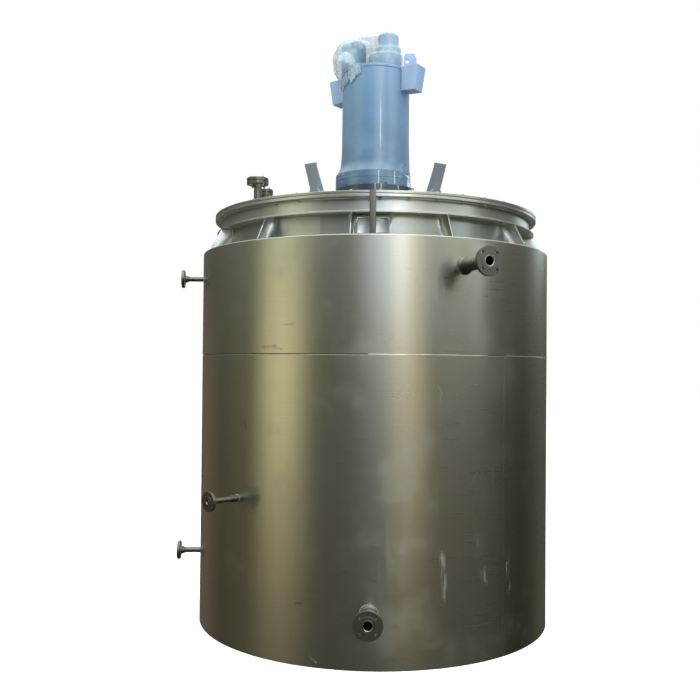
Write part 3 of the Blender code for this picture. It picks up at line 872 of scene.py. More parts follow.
def bolt_tree():
    """Bolts on a circle: a hexagon head with its chamfer and washer, a shank, and a nut below."""
    nodes = new_tree(
        "Bolt circle",
        "GeometryNodeTree",
        [
            ("Geometry", GEOMETRY, None),
            ("Count", WHOLE, 40),
            ("Circle radius", FLOAT, 0.918),
            ("First bearing", FLOAT, 0.0),
            ("Head width", FLOAT, 0.018),
            ("Head base", FLOAT, 0.0),
            ("Nut base", FLOAT, -0.03),
            ("Tail", FLOAT, 0.006),
            ("Centre", VECTOR, None),
            ("Seed", WHOLE, 3),
            ("Finish", MATERIAL, None),
        ],
        [("Geometry", GEOMETRY)],
    )
    given = nodes.given
    width = given["Head width"]
    corner = nodes.times(width, 1.0 / math.sqrt(3.0))
    tall = nodes.times(width, 0.42)
    chamfer = 0.18
    washer = 0.0016

    def moved_up(mesh, height):
        lift = nodes.made("ShaderNodeCombineXYZ", {"Z": height})
        return nodes.made("GeometryNodeTransform", {"Geometry": mesh, "Translation": lift})

    def prism(radius, depth, sides):
        return nodes.made("GeometryNodeMeshCylinder", {"Vertices": sides, "Radius": radius, "Depth": depth})

    def hexagon(base, upward):
        """A hexagon from a base height up or down, chamfered at its far end."""
        body = nodes.times(tall, (1.0 - chamfer) * upward)
        block = prism(corner, nodes.times(tall, 1.0 - chamfer), 6)
        slope = {
            "Vertices": 6,
            "Radius Top": nodes.times(corner, 0.86),
            "Radius Bottom": corner,
            "Depth": nodes.times(tall, chamfer),
        }
        cap = nodes.made("GeometryNodeMeshCone", slope)
        if upward < 0:
            cap = nodes.made("GeometryNodeTransform", {"Geometry": cap, "Rotation": (math.pi, 0.0, 0.0)})
        middle = nodes.plus(base, nodes.times(body, 0.5))
        return [moved_up(block, middle), moved_up(cap, nodes.plus(base, body))]

    head = nodes.plus(given["Head base"], washer)
    nut = nodes.minus(given["Nut base"], washer)
    parts = [*hexagon(head, 1), *hexagon(nut, -1)]
    wide = nodes.times(width, 0.62)
    for base, side in ((given["Head base"], 0.5), (given["Nut base"], -0.5)):
        parts.append(moved_up(prism(wide, washer, 20), nodes.plus(base, washer * side)))
    end = nodes.minus(nodes.minus(nut, tall), given["Tail"])
    shank = prism(nodes.times(width, 0.31), nodes.minus(head, end), 12)
    parts.append(moved_up(shank, nodes.times(nodes.plus(head, end), 0.5)))
    bolt = nodes.add("GeometryNodeJoinGeometry")
    for part in parts:
        nodes.tree.links.new(part, bolt.inputs["Geometry"])
    circle = nodes.made(
        "GeometryNodeMeshCircle", {"Vertices": given["Count"], "Radius": given["Circle radius"]}
    )
    turn = nodes.random((0.0, 0.0, 0.0), (0.0, 0.0, 1.05), given["Seed"])
    copies = {"Points": circle, "Instance": bolt.outputs["Geometry"], "Rotation": turn}
    many = nodes.made("GeometryNodeInstanceOnPoints", copies)
    spin = nodes.made("ShaderNodeCombineXYZ", {"Z": given["First bearing"]})
    spot = {"Geometry": many, "Translation": given["Centre"], "Rotation": spin}
    return nodes.finish(Geometry=nodes.realized(nodes.made("GeometryNodeTransform", spot)))


def bolt_circle(name, slot, material="bolt", **values):
    """One circle of bolts as a plain mesh piece."""
    carrier = linked(name, bpy.data.meshes.new(name))
    named = {key.replace("_", " ").capitalize(): value for key, value in values.items()}
    named["Finish"] = finish_of(material)
    obj = node_shape(carrier, get_group("Bolt circle", bolt_tree), named)
    smooth(obj.data)
    return seat(obj, material)


def weld(name, lines, radius):
    """One set of weld beads as a plain mesh piece."""
    spacing = bpy.context.scene.tank_sheet.weld_spacing
    values = {"Spacing": spacing, "Bead radius": radius, "Finish": finish_of("weld")}
    obj = node_shape(lines_object(name, lines), get_group("Weld bead", weld_tree), values)
    return seat(obj, "weld")


def ring_points(radius, height, steps):
    """Points along a level circle about the axis."""
    made = []
    for step in range(steps + 1):
        turn = 2 * math.pi * step / steps
        made.append((radius * math.sin(turn), -radius * math.cos(turn), height))
    return made


def keep_node(name, material, bevel=0.0):
    """Shows a CAD node as it is, with merged corners, eased edges and a better finish."""
    obj = NODES[name]
    obj.data.materials.clear()
    obj.data.materials.append(finish_of(material))
    obj.data.shade_smooth()
    merge = obj.modifiers.new("merge", "WELD")
    merge.merge_threshold = 0.00001
    if bevel:
        level = obj.modifiers.new("dissolve", "DECIMATE")
        level.decimate_type = "DISSOLVE"
        level.angle_limit = math.radians(1.0)
        ease = obj.modifiers.new("ease", "BEVEL")
        ease.width = bevel
        ease.segments = 2
        ease.limit_method = "ANGLE"
        ease.angle_limit = math.radians(35.0)
    even_shading(obj)


class TankOperator:
    """What every step of the tank has in common."""

    bl_options = {"REGISTER", "UNDO"}

    def execute(self, context):
        self.build(context.scene)
        return {"FINISHED"}


class TANK_OT_jacket(TankOperator, bpy.types.Operator):
    """Rolled sheets of both courses with their rim, laps and seam"""

    bl_idname = "tank.jacket"
    bl_label = "Jacket Sheets"

    def build(self, scene):
        sheet = scene.tank_sheet
        inner = VESSEL_RADIUS + 0.0003
        skirt = JACKET_RADIUS - SKIRT_THICKNESS
        over_base = levels("base_plate")[1] + 0.0003
        groove = 0.0012
        lower = [
            (inner, over_base, 0),
            (skirt, over_base, 0),
            (skirt, 0.0, 0.002),
            (JACKET_RADIUS, 0.0, 0.003),
            (JACKET_RADIUS, COURSE_SEAM - groove, 0.0025),
            (inner, COURSE_SEAM - groove, 0),
        ]
        upper = [
            (inner, COURSE_SEAM + groove, 0),
            (JACKET_RADIUS, COURSE_SEAM + groove, 0.0025),
            (JACKET_RADIUS, JACKET_TOP, sheet.rim_radius),
            (inner, JACKET_TOP, 0),
        ]
        for course, corners in (("lower", lower), ("upper", upper)):
            panels = [f"jacket_{course}_{number}" for number in range(1, 7)]
            shape = spun(corners, 288)
            add_piece(f"jacket_{course}_sheets", shape, "jacket", panels)
        self.laps(sheet)
        self.seam_lip()
        keep_node("base_plate", "plate")

    def laps(self, sheet):
        """Upright lap joints, each a thin strip with a rolled edge."""
        heights = {
            "lower": (0.004, COURSE_SEAM - 0.004),
            "upper": (COURSE_SEAM + 0.004, JACKET_TOP - 0.006),
        }
        proud = 0.0012
        for course, bearings in LAP_BEARINGS.items():
            bottom, top = heights[course]
            corners = [
                (JACKET_RADIUS - 0.002, bottom, 0),
                (JACKET_RADIUS + proud, bottom, 0.001),
                (JACKET_RADIUS + proud, top, 0.001),
                (JACKET_RADIUS - 0.002, top, 0),
            ]
            half = math.degrees(sheet.lap_width / 2 / JACKET_RADIUS)
            for number, bearing in enumerate(bearings):
                shape = spun(corners, 6, (bearing - half, bearing + half))
                add_piece(f"jacket_lap_{course}_{number + 1}", shape, "jacket")

    def seam_lip(self):
        """Rolled lip along the seam between the courses, where it stands proud on the right side."""
        radius = 0.0035
        profile = [
            (JACKET_RADIUS - 0.0022 + radius * math.cos(turn), COURSE_SEAM + radius * math.sin(turn))
            for turn in [2 * math.pi * step / 12 for step in range(12)]
        ]
        for number, span in enumerate(((-1.5, 34.4), (41.4, 170.0))):
            steps = int((span[1] - span[0]) * 0.8)
            obj = add_mesh(f"seam_lip_{number + 1}", turned_mesh(profile, steps, span))
            seat(obj, "pipe")


class TANK_OT_neck(TankOperator, bpy.types.Operator):
    """Neck wall with its gussets, front frame and joint bar, and their welds"""

    bl_idname = "tank.neck"
    bl_label = "Neck"

    def build(self, scene):
        for number in range(1, 7):
            keep_node(f"vessel_wall_{number}", "neck")
        keep_node("joint_bar", "nozzle")
        foot = JACKET_TOP + 0.0008
        head = BAND_BOTTOM - 0.001
        wall = VESSEL_RADIUS + 0.001
        weld("neck_foot_weld", [ring_points(wall, foot, 240)], NECK_BEAD)
        lines = []
        for number in range(GUSSET_COUNT):
            place = on_bearing(FIRST_GUSSET + number * 360.0 / GUSSET_COUNT)
            for side in (-1.0, 1.0):
                across = side * (GUSSET_HALF + 0.0008)
                outline = [(across, -GUSSET_FOOT, foot), (across, -wall, foot), (across, -wall, head)]
                lines.append([place @ Vector(point) for point in outline])
        weld("gusset_welds", lines, NECK_BEAD)


class TANK_OT_flange(TankOperator, bpy.types.Operator):
    """Body flange, gasket, conical cover and the bolts that hold them"""

    bl_idname = "tank.flange"
    bl_label = "Body Flange and Cover"

    def build(self, scene):
        settings = scene.tank_flange
        inner = VESSEL_RADIUS - VESSEL_WALL
        gasket = 0.0009
        band = [
            (inner, RING_BOTTOM, 0),
            (VESSEL_RADIUS + 0.0003, RING_BOTTOM, 0),
            (VESSEL_RADIUS + 0.0003, BAND_BOTTOM, 0),
            (BAND_LIP_RADIUS, BAND_BOTTOM, 0.002),
            (BAND_LIP_RADIUS, BAND_BOTTOM + 0.006, 0.002),
            (BAND_RADIUS, BAND_BOTTOM + 0.0085, 0.009),
            (BAND_RADIUS, RING_BOTTOM, 0.006),
            (RING_RADIUS, RING_BOTTOM, 0.002),
            (RING_RADIUS, RING_TOP - gasket, 0.002),
            (inner, RING_TOP - gasket, 0),
        ]
        add_piece("flange_band", spun(band, 288), "flange", ["body_flange"])
        packing = [
            (inner, RING_TOP - gasket, 0),
            (RING_RADIUS - 0.003, RING_TOP - gasket, 0.0005),
            (RING_RADIUS - 0.003, RING_TOP + gasket, 0.0005),
            (inner, RING_TOP + gasket, 0),
        ]
        obj = add_mesh("flange_gasket", spun(packing, 240))
        seat(obj, "rubber")
        self.cover(gasket, inner)
        bolt_circle(
            "flange_bolts",
            "flange_steel",
            count=settings.bolt_count,
            circle_radius=settings.bolt_circle,
            first_bearing=settings.first_bearing - math.pi / 2,
            head_width=settings.head_width,
            head_base=RIM_TOP,
            nut_base=RING_BOTTOM,
            tail=0.002,
        )

    def cover(self, gasket, inner):
        """The shallow cone with its rim and the seat of the drive, and its welds."""
        wall = 0.010
        cover = [
            (RING_RADIUS, RING_TOP + gasket, 0.002),
            (RING_RADIUS, RIM_TOP, 0.002),
            (CONE_FOOT_RADIUS, RIM_TOP, 0.004),
            (CONE_HEAD_RADIUS, CONE_HEAD_HEIGHT, 0.005),
            (SEAT_RADIUS, COVER_TOP, 0.003),
            (0.0, COVER_TOP, 0),
            (0.0, CONE_HEAD_HEIGHT - wall, 0),
            (CONE_HEAD_RADIUS, CONE_HEAD_HEIGHT - wall, 0),
            (inner, RING_TOP + gasket, 0),
        ]
        add_piece("cover_cone", spun(cover, 288), "cover", ["cover"])
        slope = (CONE_HEAD_HEIGHT - RIM_TOP) / (CONE_FOOT_RADIUS - CONE_HEAD_RADIUS)
        lines = [
            ring_points(CONE_FOOT_RADIUS - 0.002, RIM_TOP + 0.0006, 240),
            ring_points(CONE_HEAD_RADIUS + 0.004, CONE_HEAD_HEIGHT - 0.0002, 120),
        ]
        for bearing in (75.0, 255.0):
            line = []
            for step in range(25):
                radius = CONE_FOOT_RADIUS - 0.01 - step * (CONE_FOOT_RADIUS - CONE_HEAD_RADIUS - 0.02) / 24
                up = RIM_TOP + (CONE_FOOT_RADIUS - radius) * slope
                line.append(on_bearing(bearing) @ Vector((0.0, -radius, up)))
            lines.append(line)
        weld("cover_welds", lines, COVER_BEAD)


class TANK_OT_lugs(TankOperator, bpy.types.Operator):
    """Lifting lugs on the cover"""

    bl_idname = "tank.lugs"
    bl_label = "Lifting Lugs"

    def build(self, scene):
        for name in ("lug_front_left", "lug_front_right", "lug_rear_right", "lug_rear_left"):
            keep_node(name, "plate", 0.0012)


class TANK_OT_nozzles(TankOperator, bpy.types.Operator):
    """Side nozzles with drilled flanges and raised faces, and the closed nozzles on the cover"""

    bl_idname = "tank.nozzles"
    bl_label = "Nozzles"

    def build(self, scene):
        for name, sizes in NOZZLES.items():
            self.side_nozzle(name, *sizes)
        for name, sizes in COVER_NOZZLES.items():
            self.cover_nozzle(name, *sizes)

    def side_nozzle(self, name, bearing, height, face, pipe, bore, flange, thickness, hub, bolts, collar):
        """A welding neck with its raised face, recessed bore, drilled holes and the collar at its root."""
        raised = 0.0018
        recess = 0.0045
        back = face - thickness
        circle, hole = bolts
        seat_radius = circle - hole - 0.002
        hub_radius, hub_length = hub
        root = VESSEL_RADIUS + 0.0006
        outward = Matrix.Rotation(math.pi / 2, 4, "X")
        place = on_bearing(bearing) @ Matrix.Translation((0, 0, height)) @ outward
        corners = [(bore, root, 0), (pipe, root, 0)]
        if collar:
            corners += self.collar_corners(pipe, *collar)
        corners += [
            (pipe, back - hub_length, 0.006),
            (hub_radius, back, 0.003),
            (flange, back, 0.0012),
            (flange, face - raised, 0.0012),
            (seat_radius, face - raised, 0.0005),
            (seat_radius, face, 0.0006),
            (pipe, face, 0.0006),
            (pipe, face - recess, 0),
            (bore, face - recess, 0),
        ]
        obj = add_mesh(f"{name}_forging", moved(spun(corners, 96), place))
        drills = bmesh.new()
        for number in range(4):
            turn = math.radians(45.0 + 90.0 * number)
            middle = face - thickness / 2
            bmesh.ops.create_cone(
                drills,
                cap_ends=True,
                segments=28,
                radius1=hole,
                radius2=hole,
                depth=thickness * 2,
                matrix=Matrix.Translation((circle * math.cos(turn), circle * math.sin(turn), middle)),
            )
        boolean(obj, "DIFFERENCE", moved(drills, place))
        even_shading(obj)
        seat(obj, "nozzle", [name])
        lip = [
            (bore, face - recess, 0),
            (pipe, face - recess, 0),
            (pipe, face - 0.0006, 0.0012),
            (bore, face - 0.0006, 0.0025),
        ]
        ring = add_mesh(f"{name}_bore_lip", moved(spun(lip, 64), place))
        seat(ring, "pipe")
        lines = []
        for radius, along in ((hub_radius - 0.001, back - 0.001), (pipe + 0.001, JACKET_RADIUS + 0.001)):
            if collar and along < back - 0.01:
                radius = collar[0] + 0.001
            lines.append([place @ Vector(point) for point in ring_points(radius, along, 48)])
        weld(f"{name}_welds", lines, NOZZLE_BEAD)

    def collar_corners(self, pipe, wide, long):
        """A cone against the jacket where the collar is wide, or else a sleeve with three grooves."""
        start = JACKET_RADIUS + 0.0003
        if wide > pipe * 1.4:
            return [
                (pipe, start, 0),
                (wide, start, 0),
                (wide, start + 0.003, 0.0012),
                (pipe + 0.004, start + long, 0.004),
            ]
        corners = [(pipe, start, 0), (wide, start, 0)]
        for groove in range(3):
            near = start + 0.012 + 0.012 * groove
            far = near + 0.004
            corners += [(wide, near, 0.001), (pipe, near, 0), (pipe, far, 0), (wide, far, 0.001)]
        end = start + long + 0.004
        return corners + [(wide, end, 0.001), (pipe, end, 0.001)]

    def cover_nozzle(self, name, centre, pipe, flange):
        """A short pipe with a pair of flanges, the upper one blind."""
        foot, top = levels(name)
        pair = 0.038
        joint = 0.0025
        middle = top - pair / 2
        corners = [
            (0.0, foot, 0),
            (pipe, foot, 0),
            (pipe, top - pair - 0.014, 0.004),
            (pipe * 1.35, top - pair, 0.003),
            (flange, top - pair, 0.0015),
            (flange, middle - joint / 2, 0.0012),
            (flange * 0.72, middle - joint / 2, 0),
            (flange * 0.72, middle + joint / 2, 0),
            (flange, middle + joint / 2, 0.0012),
            (flange, top, 0.002),
            (0.0, top, 0),
        ]
        shape = moved(spun(corners, 72), Matrix.Translation((*centre, 0.0)))
        add_piece(f"{name}_forging", shape, "nozzle", [name])
        bolt_circle(
            f"{name}_bolts",
            "nozzle_steel",
            count=4,
            circle_radius=flange * 0.76,
            first_bearing=math.radians(45.0),
            head_width=0.014,
            head_base=top,
            nut_base=top - pair,
            tail=0.004,
            centre=(*centre, 0.0),
        )


class TANK_OT_drive(TankOperator, bpy.types.Operator):
    """Blue drive: base flange, casting, barrel, head, ears, eye and covers"""

    bl_idname = "tank.drive"
    bl_label = "Drive"

    def build(self, scene):
        self.base()
        self.column()
        self.head()
        # The ears and the eye plate take the lighter enamel, which is painted light.
        for name in ("ear_front_right", "ear_rear_left"):
            keep_node(name, "ear_paint_painted_light", 0.003)
        keep_node("eye_plate", "ear_paint_painted_light", 0.0015)

    def base(self):
        bottom, top = levels("drive_flange")
        shape = spun(disc(0.2375, bottom, top, 0.002, 0.004), 128)
        add_piece("drive_base_flange", shape, "dark_paint", ["drive_flange"])
        bolt_circle(
            "drive_base_bolts",
            "dark_enamel",
            "dark_paint",
            count=12,
            circle_radius=0.2295,
            first_bearing=math.radians(-75.0),
            head_width=0.0125,
            head_base=top,
            nut_base=bottom + 0.004,
            tail=0.0,
        )

    def column(self):
        """Casting and barrel, whose flare leans to the left of the axis."""
        base, joint = levels("drive_casting")
        top = levels("drive_barrel")[1]
        shift = -0.0125
        radius = 0.2226
        casting = [
            (shift, radius - 0.002, base),
            (shift, radius, base + 0.002),
            (shift, radius, joint - 0.0275),
            (shift, radius - 0.0014, joint - 0.0260),
            (shift, radius - 0.0014, joint - 0.0240),
            (shift, radius, joint - 0.0225),
            (shift, radius, joint - 0.0110),
            (shift, radius - 0.0004, joint - 0.0100),
            (shift, radius - 0.0004, joint),
        ]
        add_piece("drive_base_casting", lofted(casting, 128), "paint", ["drive_casting"])
        knots = (
            (shift, radius - 0.0004, 0.0002),
            (shift, radius - 0.0004, 0.0105),
            (shift, radius - 0.0016, 0.0120),
            (shift, radius - 0.0018, 0.0140),
            (shift + 0.0002, radius - 0.0010, 0.0155),
            (-0.0105, 0.2185, 0.0220),
            (-0.0070, 0.2128, 0.0380),
            (-0.0045, 0.2085, 0.0520),
            (-0.0022, 0.2052, 0.0700),
            (-0.0010, 0.2035, 0.0900),
            (0.0, 0.2016, 0.1300),
            (0.0, 0.2005, 0.1700),
            (0.0, 0.1995, 0.2300),
            (0.0, 0.1990, 0.3000),
        )
        rings = [(centre, size, joint + up) for centre, size, up in knots]
        rings += [(0.0, 0.1990, top - 0.004), (0.0, 0.1978, top - 0.0012), (0.0, 0.1965, top)]
        add_piece("drive_column", lofted(rings, 128), "paint", ["drive_barrel"])

    def head(self):
        """Head plate, the stepped covers on it and the motor under the film."""
        bottom, top = levels("head_plate")
        shape = spun(disc(0.200, bottom, top, 0.003, 0.004), 128)
        add_piece("drive_head_plate", shape, "paint", ["head_plate"])
        covers = {
            "input_cover": ((0.054, -0.010), 0.101, 0.006, 0.010),
            "input_step": ((0.070, -0.006), 0.072, 0.004, 0.0),
            "input_cap": ((0.070, -0.006), 0.059, 0.012, 0.0),
        }
        for name, (centre, radius, edge, lip) in covers.items():
            bottom, top = levels(name)
            corners = disc(radius, bottom, top, 0.0015, edge)
            if lip:
                corners = disc(radius - 0.004, bottom, top, 0.001, edge)
                corners[1:2] = [
                    (radius, bottom, 0.0015),
                    (radius, bottom + lip, 0.002),
                    (radius - 0.004, bottom + lip, 0.001),
                ]
            shape = moved(spun(corners, 96), Matrix.Translation((*centre, 0.0)))
            add_piece(f"drive_{name}", shape, "pale_paint", [name])
        bottom, top = levels("motor")
        shape = spun(disc(0.075, bottom, top, 0.002, 0.024), 96)
        shape = moved(shape, Matrix.Translation((-0.135, 0.070, 0)))
        add_piece("drive_motor", shape, "paint", ["motor"])


def lofted(rings, steps):
    """Closed solid through level circles given as (centre x, radius, height), from the bottom up."""
    shape = bmesh.new()
    loops = []
    for centre, radius, height in rings:
        turns = [2 * math.pi * step / steps for step in range(steps)]
        loops.append(
            [shape.verts.new((centre + radius * math.cos(t), radius * math.sin(t), height)) for t in turns]
        )
    for near, far in zip(loops, loops[1:]):
        for step in range(steps):
            ahead = (step + 1) % steps
            shape.faces.new((near[step], near[ahead], far[ahead], far[step]))
    shape.faces.new(loops[0])
    shape.faces.new(loops[-1])
    return shape


def crumpled(point, seed):
    """How far crumpled film stands off at a point: flat facets that meet in sharp creases."""
    total = 0.0
    chance = random.Random(seed)
    for size, depth in ((11.0, 0.50), (19.0, 0.30), (34.0, 0.20)):
        for _ in range(3):
            way = Vector((chance.gauss(0, 1), chance.gauss(0, 1), chance.gauss(0, 1))).normalized()
            along = point.dot(way) * size + chance.random() + 0.35 * noise.noise(point * size * 0.4)
            total += depth * (abs((along % 1.0) - 0.5) * 4.0 - 1.0) / 3.0
    return total


class TANK_OT_film(TankOperator, bpy.types.Operator):
    """Clear film that wraps the motor and the covers, crumpled and drawn taut between them"""

    bl_idname = "tank.film"
    bl_label = "Wrapping Film"

    def build(self, scene):
        shape = bmesh.new()
        self.bulge(shape, (-0.152, 0.045, 3.290), (0.110, 0.112, 0.116))
        self.bulge(shape, (-0.175, -0.030, 3.215), (0.078, 0.120, 0.085))
        self.bulge(shape, (-0.105, 0.030, 3.335), (0.090, 0.095, 0.070))
        self.drape(shape)
        self.web(shape)
        self.wrap(shape)
        obj = add_mesh("film_wrap", shape)
        remesh = obj.modifiers.new("remesh", "REMESH")
        remesh.mode = "VOXEL"
        remesh.voxel_size = 0.0045
        soften = obj.modifiers.new("smooth", "SMOOTH")
        soften.factor = 0.6
        soften.iterations = 6
        plain(obj)
        self.crumple(obj.data)
        thin = obj.modifiers.new("thin", "DECIMATE")
        thin.ratio = 0.22
        plain(obj)
        obj.data.set_sharp_from_angle(angle=math.radians(16.0))
        seat(obj, "film", ["film_bag"])

    def crumple(self, mesh):
        """Facets and creases, deeper over the motor than where the film lies close on the covers."""
        depth = 0.0125
        sink = 0.002
        seed = 4
        moves = []
        for vertex in mesh.vertices:
            loose = min(1.0, max(0.45, (0.02 - vertex.co.x) / 0.10))
            moves.append(vertex.normal * loose * (depth * crumpled(vertex.co, seed) - sink))
        for vertex, move in zip(mesh.vertices, moves):
            vertex.co += move
        mesh.update()

    def bulge(self, shape, centre, radii):
        """A rounded part of the film, stretched along each axis."""
        made = bmesh.ops.create_icosphere(shape, subdivisions=4, radius=1.0)["verts"]
        place = Matrix.Translation(centre) @ Matrix.Diagonal((*radii, 1.0))
        bmesh.ops.transform(shape, matrix=place, verts=made)

    def join(self, shape, part):
        """Puts a separate closed shape into the film before it is merged."""
        spare = bpy.data.meshes.new("film_part")
        part.to_mesh(spare)
        part.free()
        shape.from_mesh(spare)
        bpy.data.meshes.remove(spare)

    def drape(self, shape):
        """The stretch that hangs down over the left of the barrel, with a wavy hem."""
        inner, outer = 0.202, 0.211
        rise = 0.006
        shoulder = 3.190
        for step in range(14):
            bearing = -100.0 + step * 5.4
            hem = 3.090 + 0.014 * math.sin(step * 0.9) + 0.006 * math.sin(step * 2.3)
            hem += 0.020 * max(0, step - 10)
            profile = [
                (inner, hem),
                (outer, hem),
                (outer, shoulder + rise),
                (inner - 0.03, 3.199),
                (inner - 0.03, 3.191),
                (inner, shoulder),
            ]
            self.join(shape, turned_mesh(profile, 3, (bearing, bearing + 5.6)))

    def web(self, shape):
        """The stretch of film that is drawn taut from the motor to the cap."""
        outline = [
            (-0.130, 3.400),
            (-0.088, 3.420),
            (-0.020, 3.424),
            (0.050, 3.428),
            (0.050, 3.300),
            (-0.050, 3.270),
            (-0.130, 3.300),
        ]
        corners = [shape.verts.new((along, 0.004, up)) for along, up in outline]
        face = shape.faces.new(corners)
        pushed = bmesh.ops.extrude_face_region(shape, geom=[face])["geom"]
        far = [item for item in pushed if isinstance(item, bmesh.types.BMVert)]
        bmesh.ops.translate(shape, verts=far, vec=(0, 0.012, 0))

    def wrap(self, shape):
        """The film round the covers and the cap."""
        layers = (
            ((0.054, -0.010), 0.107, 3.1925, 3.297),
            ((0.068, -0.006), 0.080, 3.280, 3.344),
            ((0.070, -0.006), 0.065, 3.330, 3.4235),
        )
        for centre, radius, bottom, top in layers:
            profile = [(0, bottom), (radius, bottom), (radius, top - 0.010)]
            profile += [(radius - 0.012, top), (0, top)]
            self.join(shape, moved(turned_mesh(profile, 40), Matrix.Translation((*centre, 0.0))))


# Soft upright bands that brighten the surroundings: bearing of the centre, half width and softness, the
# levels between which a band rises, and its light below and above them, all angles in degrees
GLOWS = (
    (-60.0, 14.0, 13.0, (-15.0, 0.0), (0.02, 0.015, 0.01), (1.14, 1.04, 0.66)),
    (-95.0, 8.0, 12.0, (-12.0, -4.0), (0.01, 0.01, 0.005), (0.07, 0.05, 0.025)),
    (22.0, 9.0, 8.0, (-11.0, 1.0), (0.02, 0.015, 0.01), (0.84, 0.72, 0.36)),
    (9.0, 13.0, 12.0, (2.0, 10.0), (0.0, 0.0, 0.0), (1.10, 1.26, 1.54)),
    (54.0, 7.0, 10.0, (4.0, 9.0), (0.0, 0.0, 0.0), (0.40, 0.48, 0.40)),
    (40.0, 32.0, 22.0, (9.0, 14.0), (0.0, 0.0, 0.0), (0.55, 0.63, 0.70)),
    (17.0, 0.3, 1.7, (11.0, 12.5), (0.0, 0.0, 0.0), (13.0, 14.0, 15.0)),
    (69.0, 0.6, 1.8, (10.5, 12.5), (0.0, 0.0, 0.0), (13.0, 14.0, 15.0)),
    (-141.0, 12.0, 20.0, (-2.0, 8.0), (0.08, 0.055, 0.04), (0.01, 0.01, 0.01)),
    (134.0, 10.0, 16.0, (-10.0, 8.0), (0.03, 0.03, 0.02), (0.04, 0.05, 0.05)),
    (140.0, 12.0, 10.0, (8.0, 10.5), (0.0, 0.0, 0.0), (2.20, 2.50, 2.80)),
    (180.0, 9.0, 12.0, (-15.0, 8.0), (0.04, 0.04, 0.03), (0.60, 0.66, 0.66)),
)

# Bands of the same kind that take light away, where a glow ends or the surroundings are dark
SHADES = (
    (-60.0, 14.0, 14.0, (0.0, 9.0), (0.0, 0.0, 0.0), (0.68, 0.52, 0.32)),
    (-95.0, 8.0, 12.0, (0.0, 4.0), (0.0, 0.0, 0.0), (0.06, 0.04, 0.02)),
    (22.0, 9.0, 8.0, (-2.0, 7.0), (0.0, 0.0, 0.0), (0.40, 0.34, 0.08)),
    (17.0, 0.3, 1.7, (16.5, 18.5), (0.0, 0.0, 0.0), (13.0, 14.0, 15.0)),
    (69.0, 0.6, 1.8, (15.0, 16.5), (0.0, 0.0, 0.0), (13.0, 14.0, 15.0)),
    (-135.0, 12.0, 20.0, (2.0, 8.0), (0.0, 0.0, 0.0), (0.05, 0.05, 0.05)),
    (112.0, 22.0, 14.0, (4.0, 9.0), (0.035, 0.032, 0.026), (0.0, 0.0, 0.0)),
    (140.0, 12.0, 10.0, (12.0, 14.0), (0.0, 0.0, 0.0), (2.20, 2.50, 2.80)),
)

# The surroundings without the bands, by level in degrees
SURROUNDINGS = (
    (-60.0, (0.045, 0.040, 0.030)),
    (-14.0, (0.055, 0.052, 0.038)),
    (-3.0, (0.070, 0.070, 0.052)),
    (5.0, (0.100, 0.106, 0.085)),
    (12.0, (0.17, 0.18, 0.17)),
    (24.0, (0.42, 0.47, 0.50)),
    (40.0, (1.05, 1.14, 1.24)),
    (70.0, (1.60, 1.70, 1.80)),
)

# Lamps: place, aim, width and power
LAMPS = {
    "overhead": ((0.0, -1.0, 7.0), (0.0, 0.0, 0.0), 9.0, 700.0),
    "left": ((-6.0, -5.0, 4.0), (0.0, 0.0, 1.8), 4.0, 60.0),
    "right": ((6.0, -3.0, 4.5), (0.0, 0.0, 2.6), 4.0, 170.0),
}


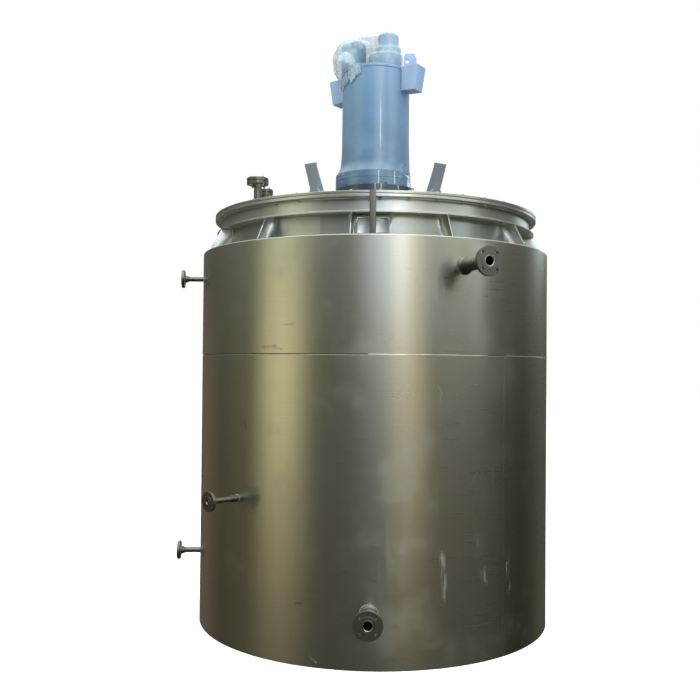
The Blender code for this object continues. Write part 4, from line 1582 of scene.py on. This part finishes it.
class TANK_OT_stage(TankOperator, bpy.types.Operator):
    """Camera at the photograph's angle, pale floor and soft studio light"""

    bl_idname = "tank.stage"
    bl_label = "Stage"

    def build(self, scene):
        stage = scene.tank_stage
        self.camera(scene, stage)
        self.floor(stage)
        self.world(scene)
        self.lights()
        scene.view_settings.view_transform = "Standard"

    def camera(self, scene, stage):
        """The photograph's view, with its slight tilts in radians."""
        pitch = 0.02011
        yaw = -0.02773
        roll = 0.00896
        ahead = Vector((math.sin(yaw) * math.cos(pitch), math.cos(yaw) * math.cos(pitch), math.sin(pitch)))
        right = Vector((math.cos(yaw), -math.sin(yaw), 0.0))
        up = right.cross(ahead)
        side = math.cos(roll) * right + math.sin(roll) * up
        top = -math.sin(roll) * right + math.cos(roll) * up
        data = bpy.data.cameras.new("Camera")
        data.lens = stage.lens
        data.sensor_width = 36.0
        data.clip_start = 0.05
        data.clip_end = 200.0
        camera = linked("Camera", data)
        turn = Matrix((side, top, -ahead)).transposed()
        camera.matrix_world = Matrix.Translation((0.0, -stage.distance, stage.eye_height)) @ turn.to_4x4()
        scene.camera = camera

    def floor(self, stage):
        """A pale floor that the steel doesn't reflect."""
        shape = bmesh.new()
        bmesh.ops.create_circle(shape, cap_ends=True, segments=96, radius=40.0)
        floor = add_mesh("studio_floor", shape)
        material, nodes, shader = new_material("pale_floor")
        colour = list(stage.floor)
        cloud = nodes.noise(nodes.place(), 3.0, detail=3.0)
        base = nodes.blend(cloud, rgba(colour), rgba([c * 0.985 for c in colour]))
        nodes.set(shader, Base_Color=base, Roughness=0.9, Specular_IOR_Level=0.0)
        floor.data.materials.append(material)
        floor.visible_glossy = False

    def world(self, scene):
        """Dark surroundings with bands of light for the steel to reflect, seen by the camera as white."""
        world = bpy.data.worlds.new("Studio")
        scene.world = world
        world.use_nodes = True
        world.node_tree.nodes.clear()
        nodes = Nodes(world.node_tree)
        axes = nodes.axes(nodes.add("ShaderNodeTexCoord").outputs["Generated"])
        bearing = nodes.bearing(axes)
        level = nodes.math("ARCSINE", axes["Z"])
        share = nodes.math("DIVIDE", nodes.plus(level, math.pi / 2), math.pi)
        ramp = nodes.add("ShaderNodeValToRGB", {"Fac": share})
        elements = ramp.color_ramp.elements
        while len(elements) < len(SURROUNDINGS):
            elements.new(0.5)
        for element, (degrees, colour) in zip(elements, SURROUNDINGS):
            element.position = (degrees + 90.0) / 180.0
            element.color = rgba(colour)
        light = ramp.outputs["Color"]
        for bands, mode in ((GLOWS, "ADD"), (SHADES, "SUBTRACT")):
            for band in bands:
                light = self.band(nodes, light, bearing, level, mode, *band)
        studio = nodes.made("ShaderNodeBackground", {"Color": light, "Strength": 1.0})
        white = nodes.made("ShaderNodeBackground", {"Color": (1.0, 1.0, 1.0, 1.0), "Strength": 1.0})
        seen = nodes.add("ShaderNodeLightPath").outputs["Is Camera Ray"]
        both = nodes.add("ShaderNodeMixShader", {"Fac": seen})
        nodes.feed(both.inputs[1], studio)
        nodes.feed(both.inputs[2], white)
        nodes.add("ShaderNodeOutputWorld", {"Surface": both.outputs[0]})

    def band(self, nodes, light, bearing, level, mode, centre, half, soft, rise, dim, bright):
        """Light with one more upright band that adds to it or takes away from it."""
        apart = nodes.math("WRAP", nodes.minus(bearing, math.radians(centre)), math.pi, -math.pi)
        outer = math.radians(half + soft)
        inner = math.radians(max(0.0, half - soft))
        mask = nodes.span(nodes.math("ABSOLUTE", apart), outer, inner)
        climb = nodes.span(level, math.radians(rise[0]), math.radians(rise[1]))
        glow = nodes.blend(climb, rgba(dim), rgba(bright))
        return nodes.blend(mask, light, nodes.blend(1.0, light, glow, mode))

    def lights(self):
        """Wide lamps that light the paint and that the steel doesn't reflect."""
        for name, (place, aim, width, power) in LAMPS.items():
            data = bpy.data.lights.new(name, "AREA")
            data.shape = "DISK"
            data.size = width
            data.energy = power
            lamp = linked(name, data)
            lamp.location = place
            lamp.rotation_euler = (Vector(aim) - Vector(place)).to_track_quat("-Z", "Y").to_euler()
            lamp.visible_glossy = False


STEPS = (
    TANK_OT_jacket,
    TANK_OT_neck,
    TANK_OT_flange,
    TANK_OT_lugs,
    TANK_OT_nozzles,
    TANK_OT_drive,
    TANK_OT_film,
    TANK_OT_stage,
)


class TANK_PT_builder(bpy.types.Panel):
    """Lists the steps and the sizes of the mixing tank"""

    bl_idname = "TANK_PT_builder"
    bl_label = "Mixing Tank"
    bl_space_type = "VIEW_3D"
    bl_region_type = "UI"
    bl_category = "Mixing Tank"

    def draw(self, context):
        layout = self.layout
        for name, group in SETTINGS.items():
            box = layout.box()
            settings = getattr(context.scene, name)
            for label in group.__annotations__:
                box.prop(settings, label)
        for step in STEPS:
            layout.operator(step.bl_idname)


def register():
    for group in SETTINGS.values():
        bpy.utils.register_class(group)
    for name, group in SETTINGS.items():
        setattr(bpy.types.Scene, name, PointerProperty(type=group))
    for cls in (*STEPS, TANK_PT_builder):
        bpy.utils.register_class(cls)


def unregister():
    for cls in (TANK_PT_builder, *reversed(STEPS)):
        bpy.utils.unregister_class(cls)
    for name in SETTINGS:
        delattr(bpy.types.Scene, name)
    for group in SETTINGS.values():
        bpy.utils.unregister_class(group)


def main():
    register()
    for step in STEPS:
        group, name = step.bl_idname.split(".")
        getattr(getattr(bpy.ops, group), name)()


if __name__ == "__main__":
    main()
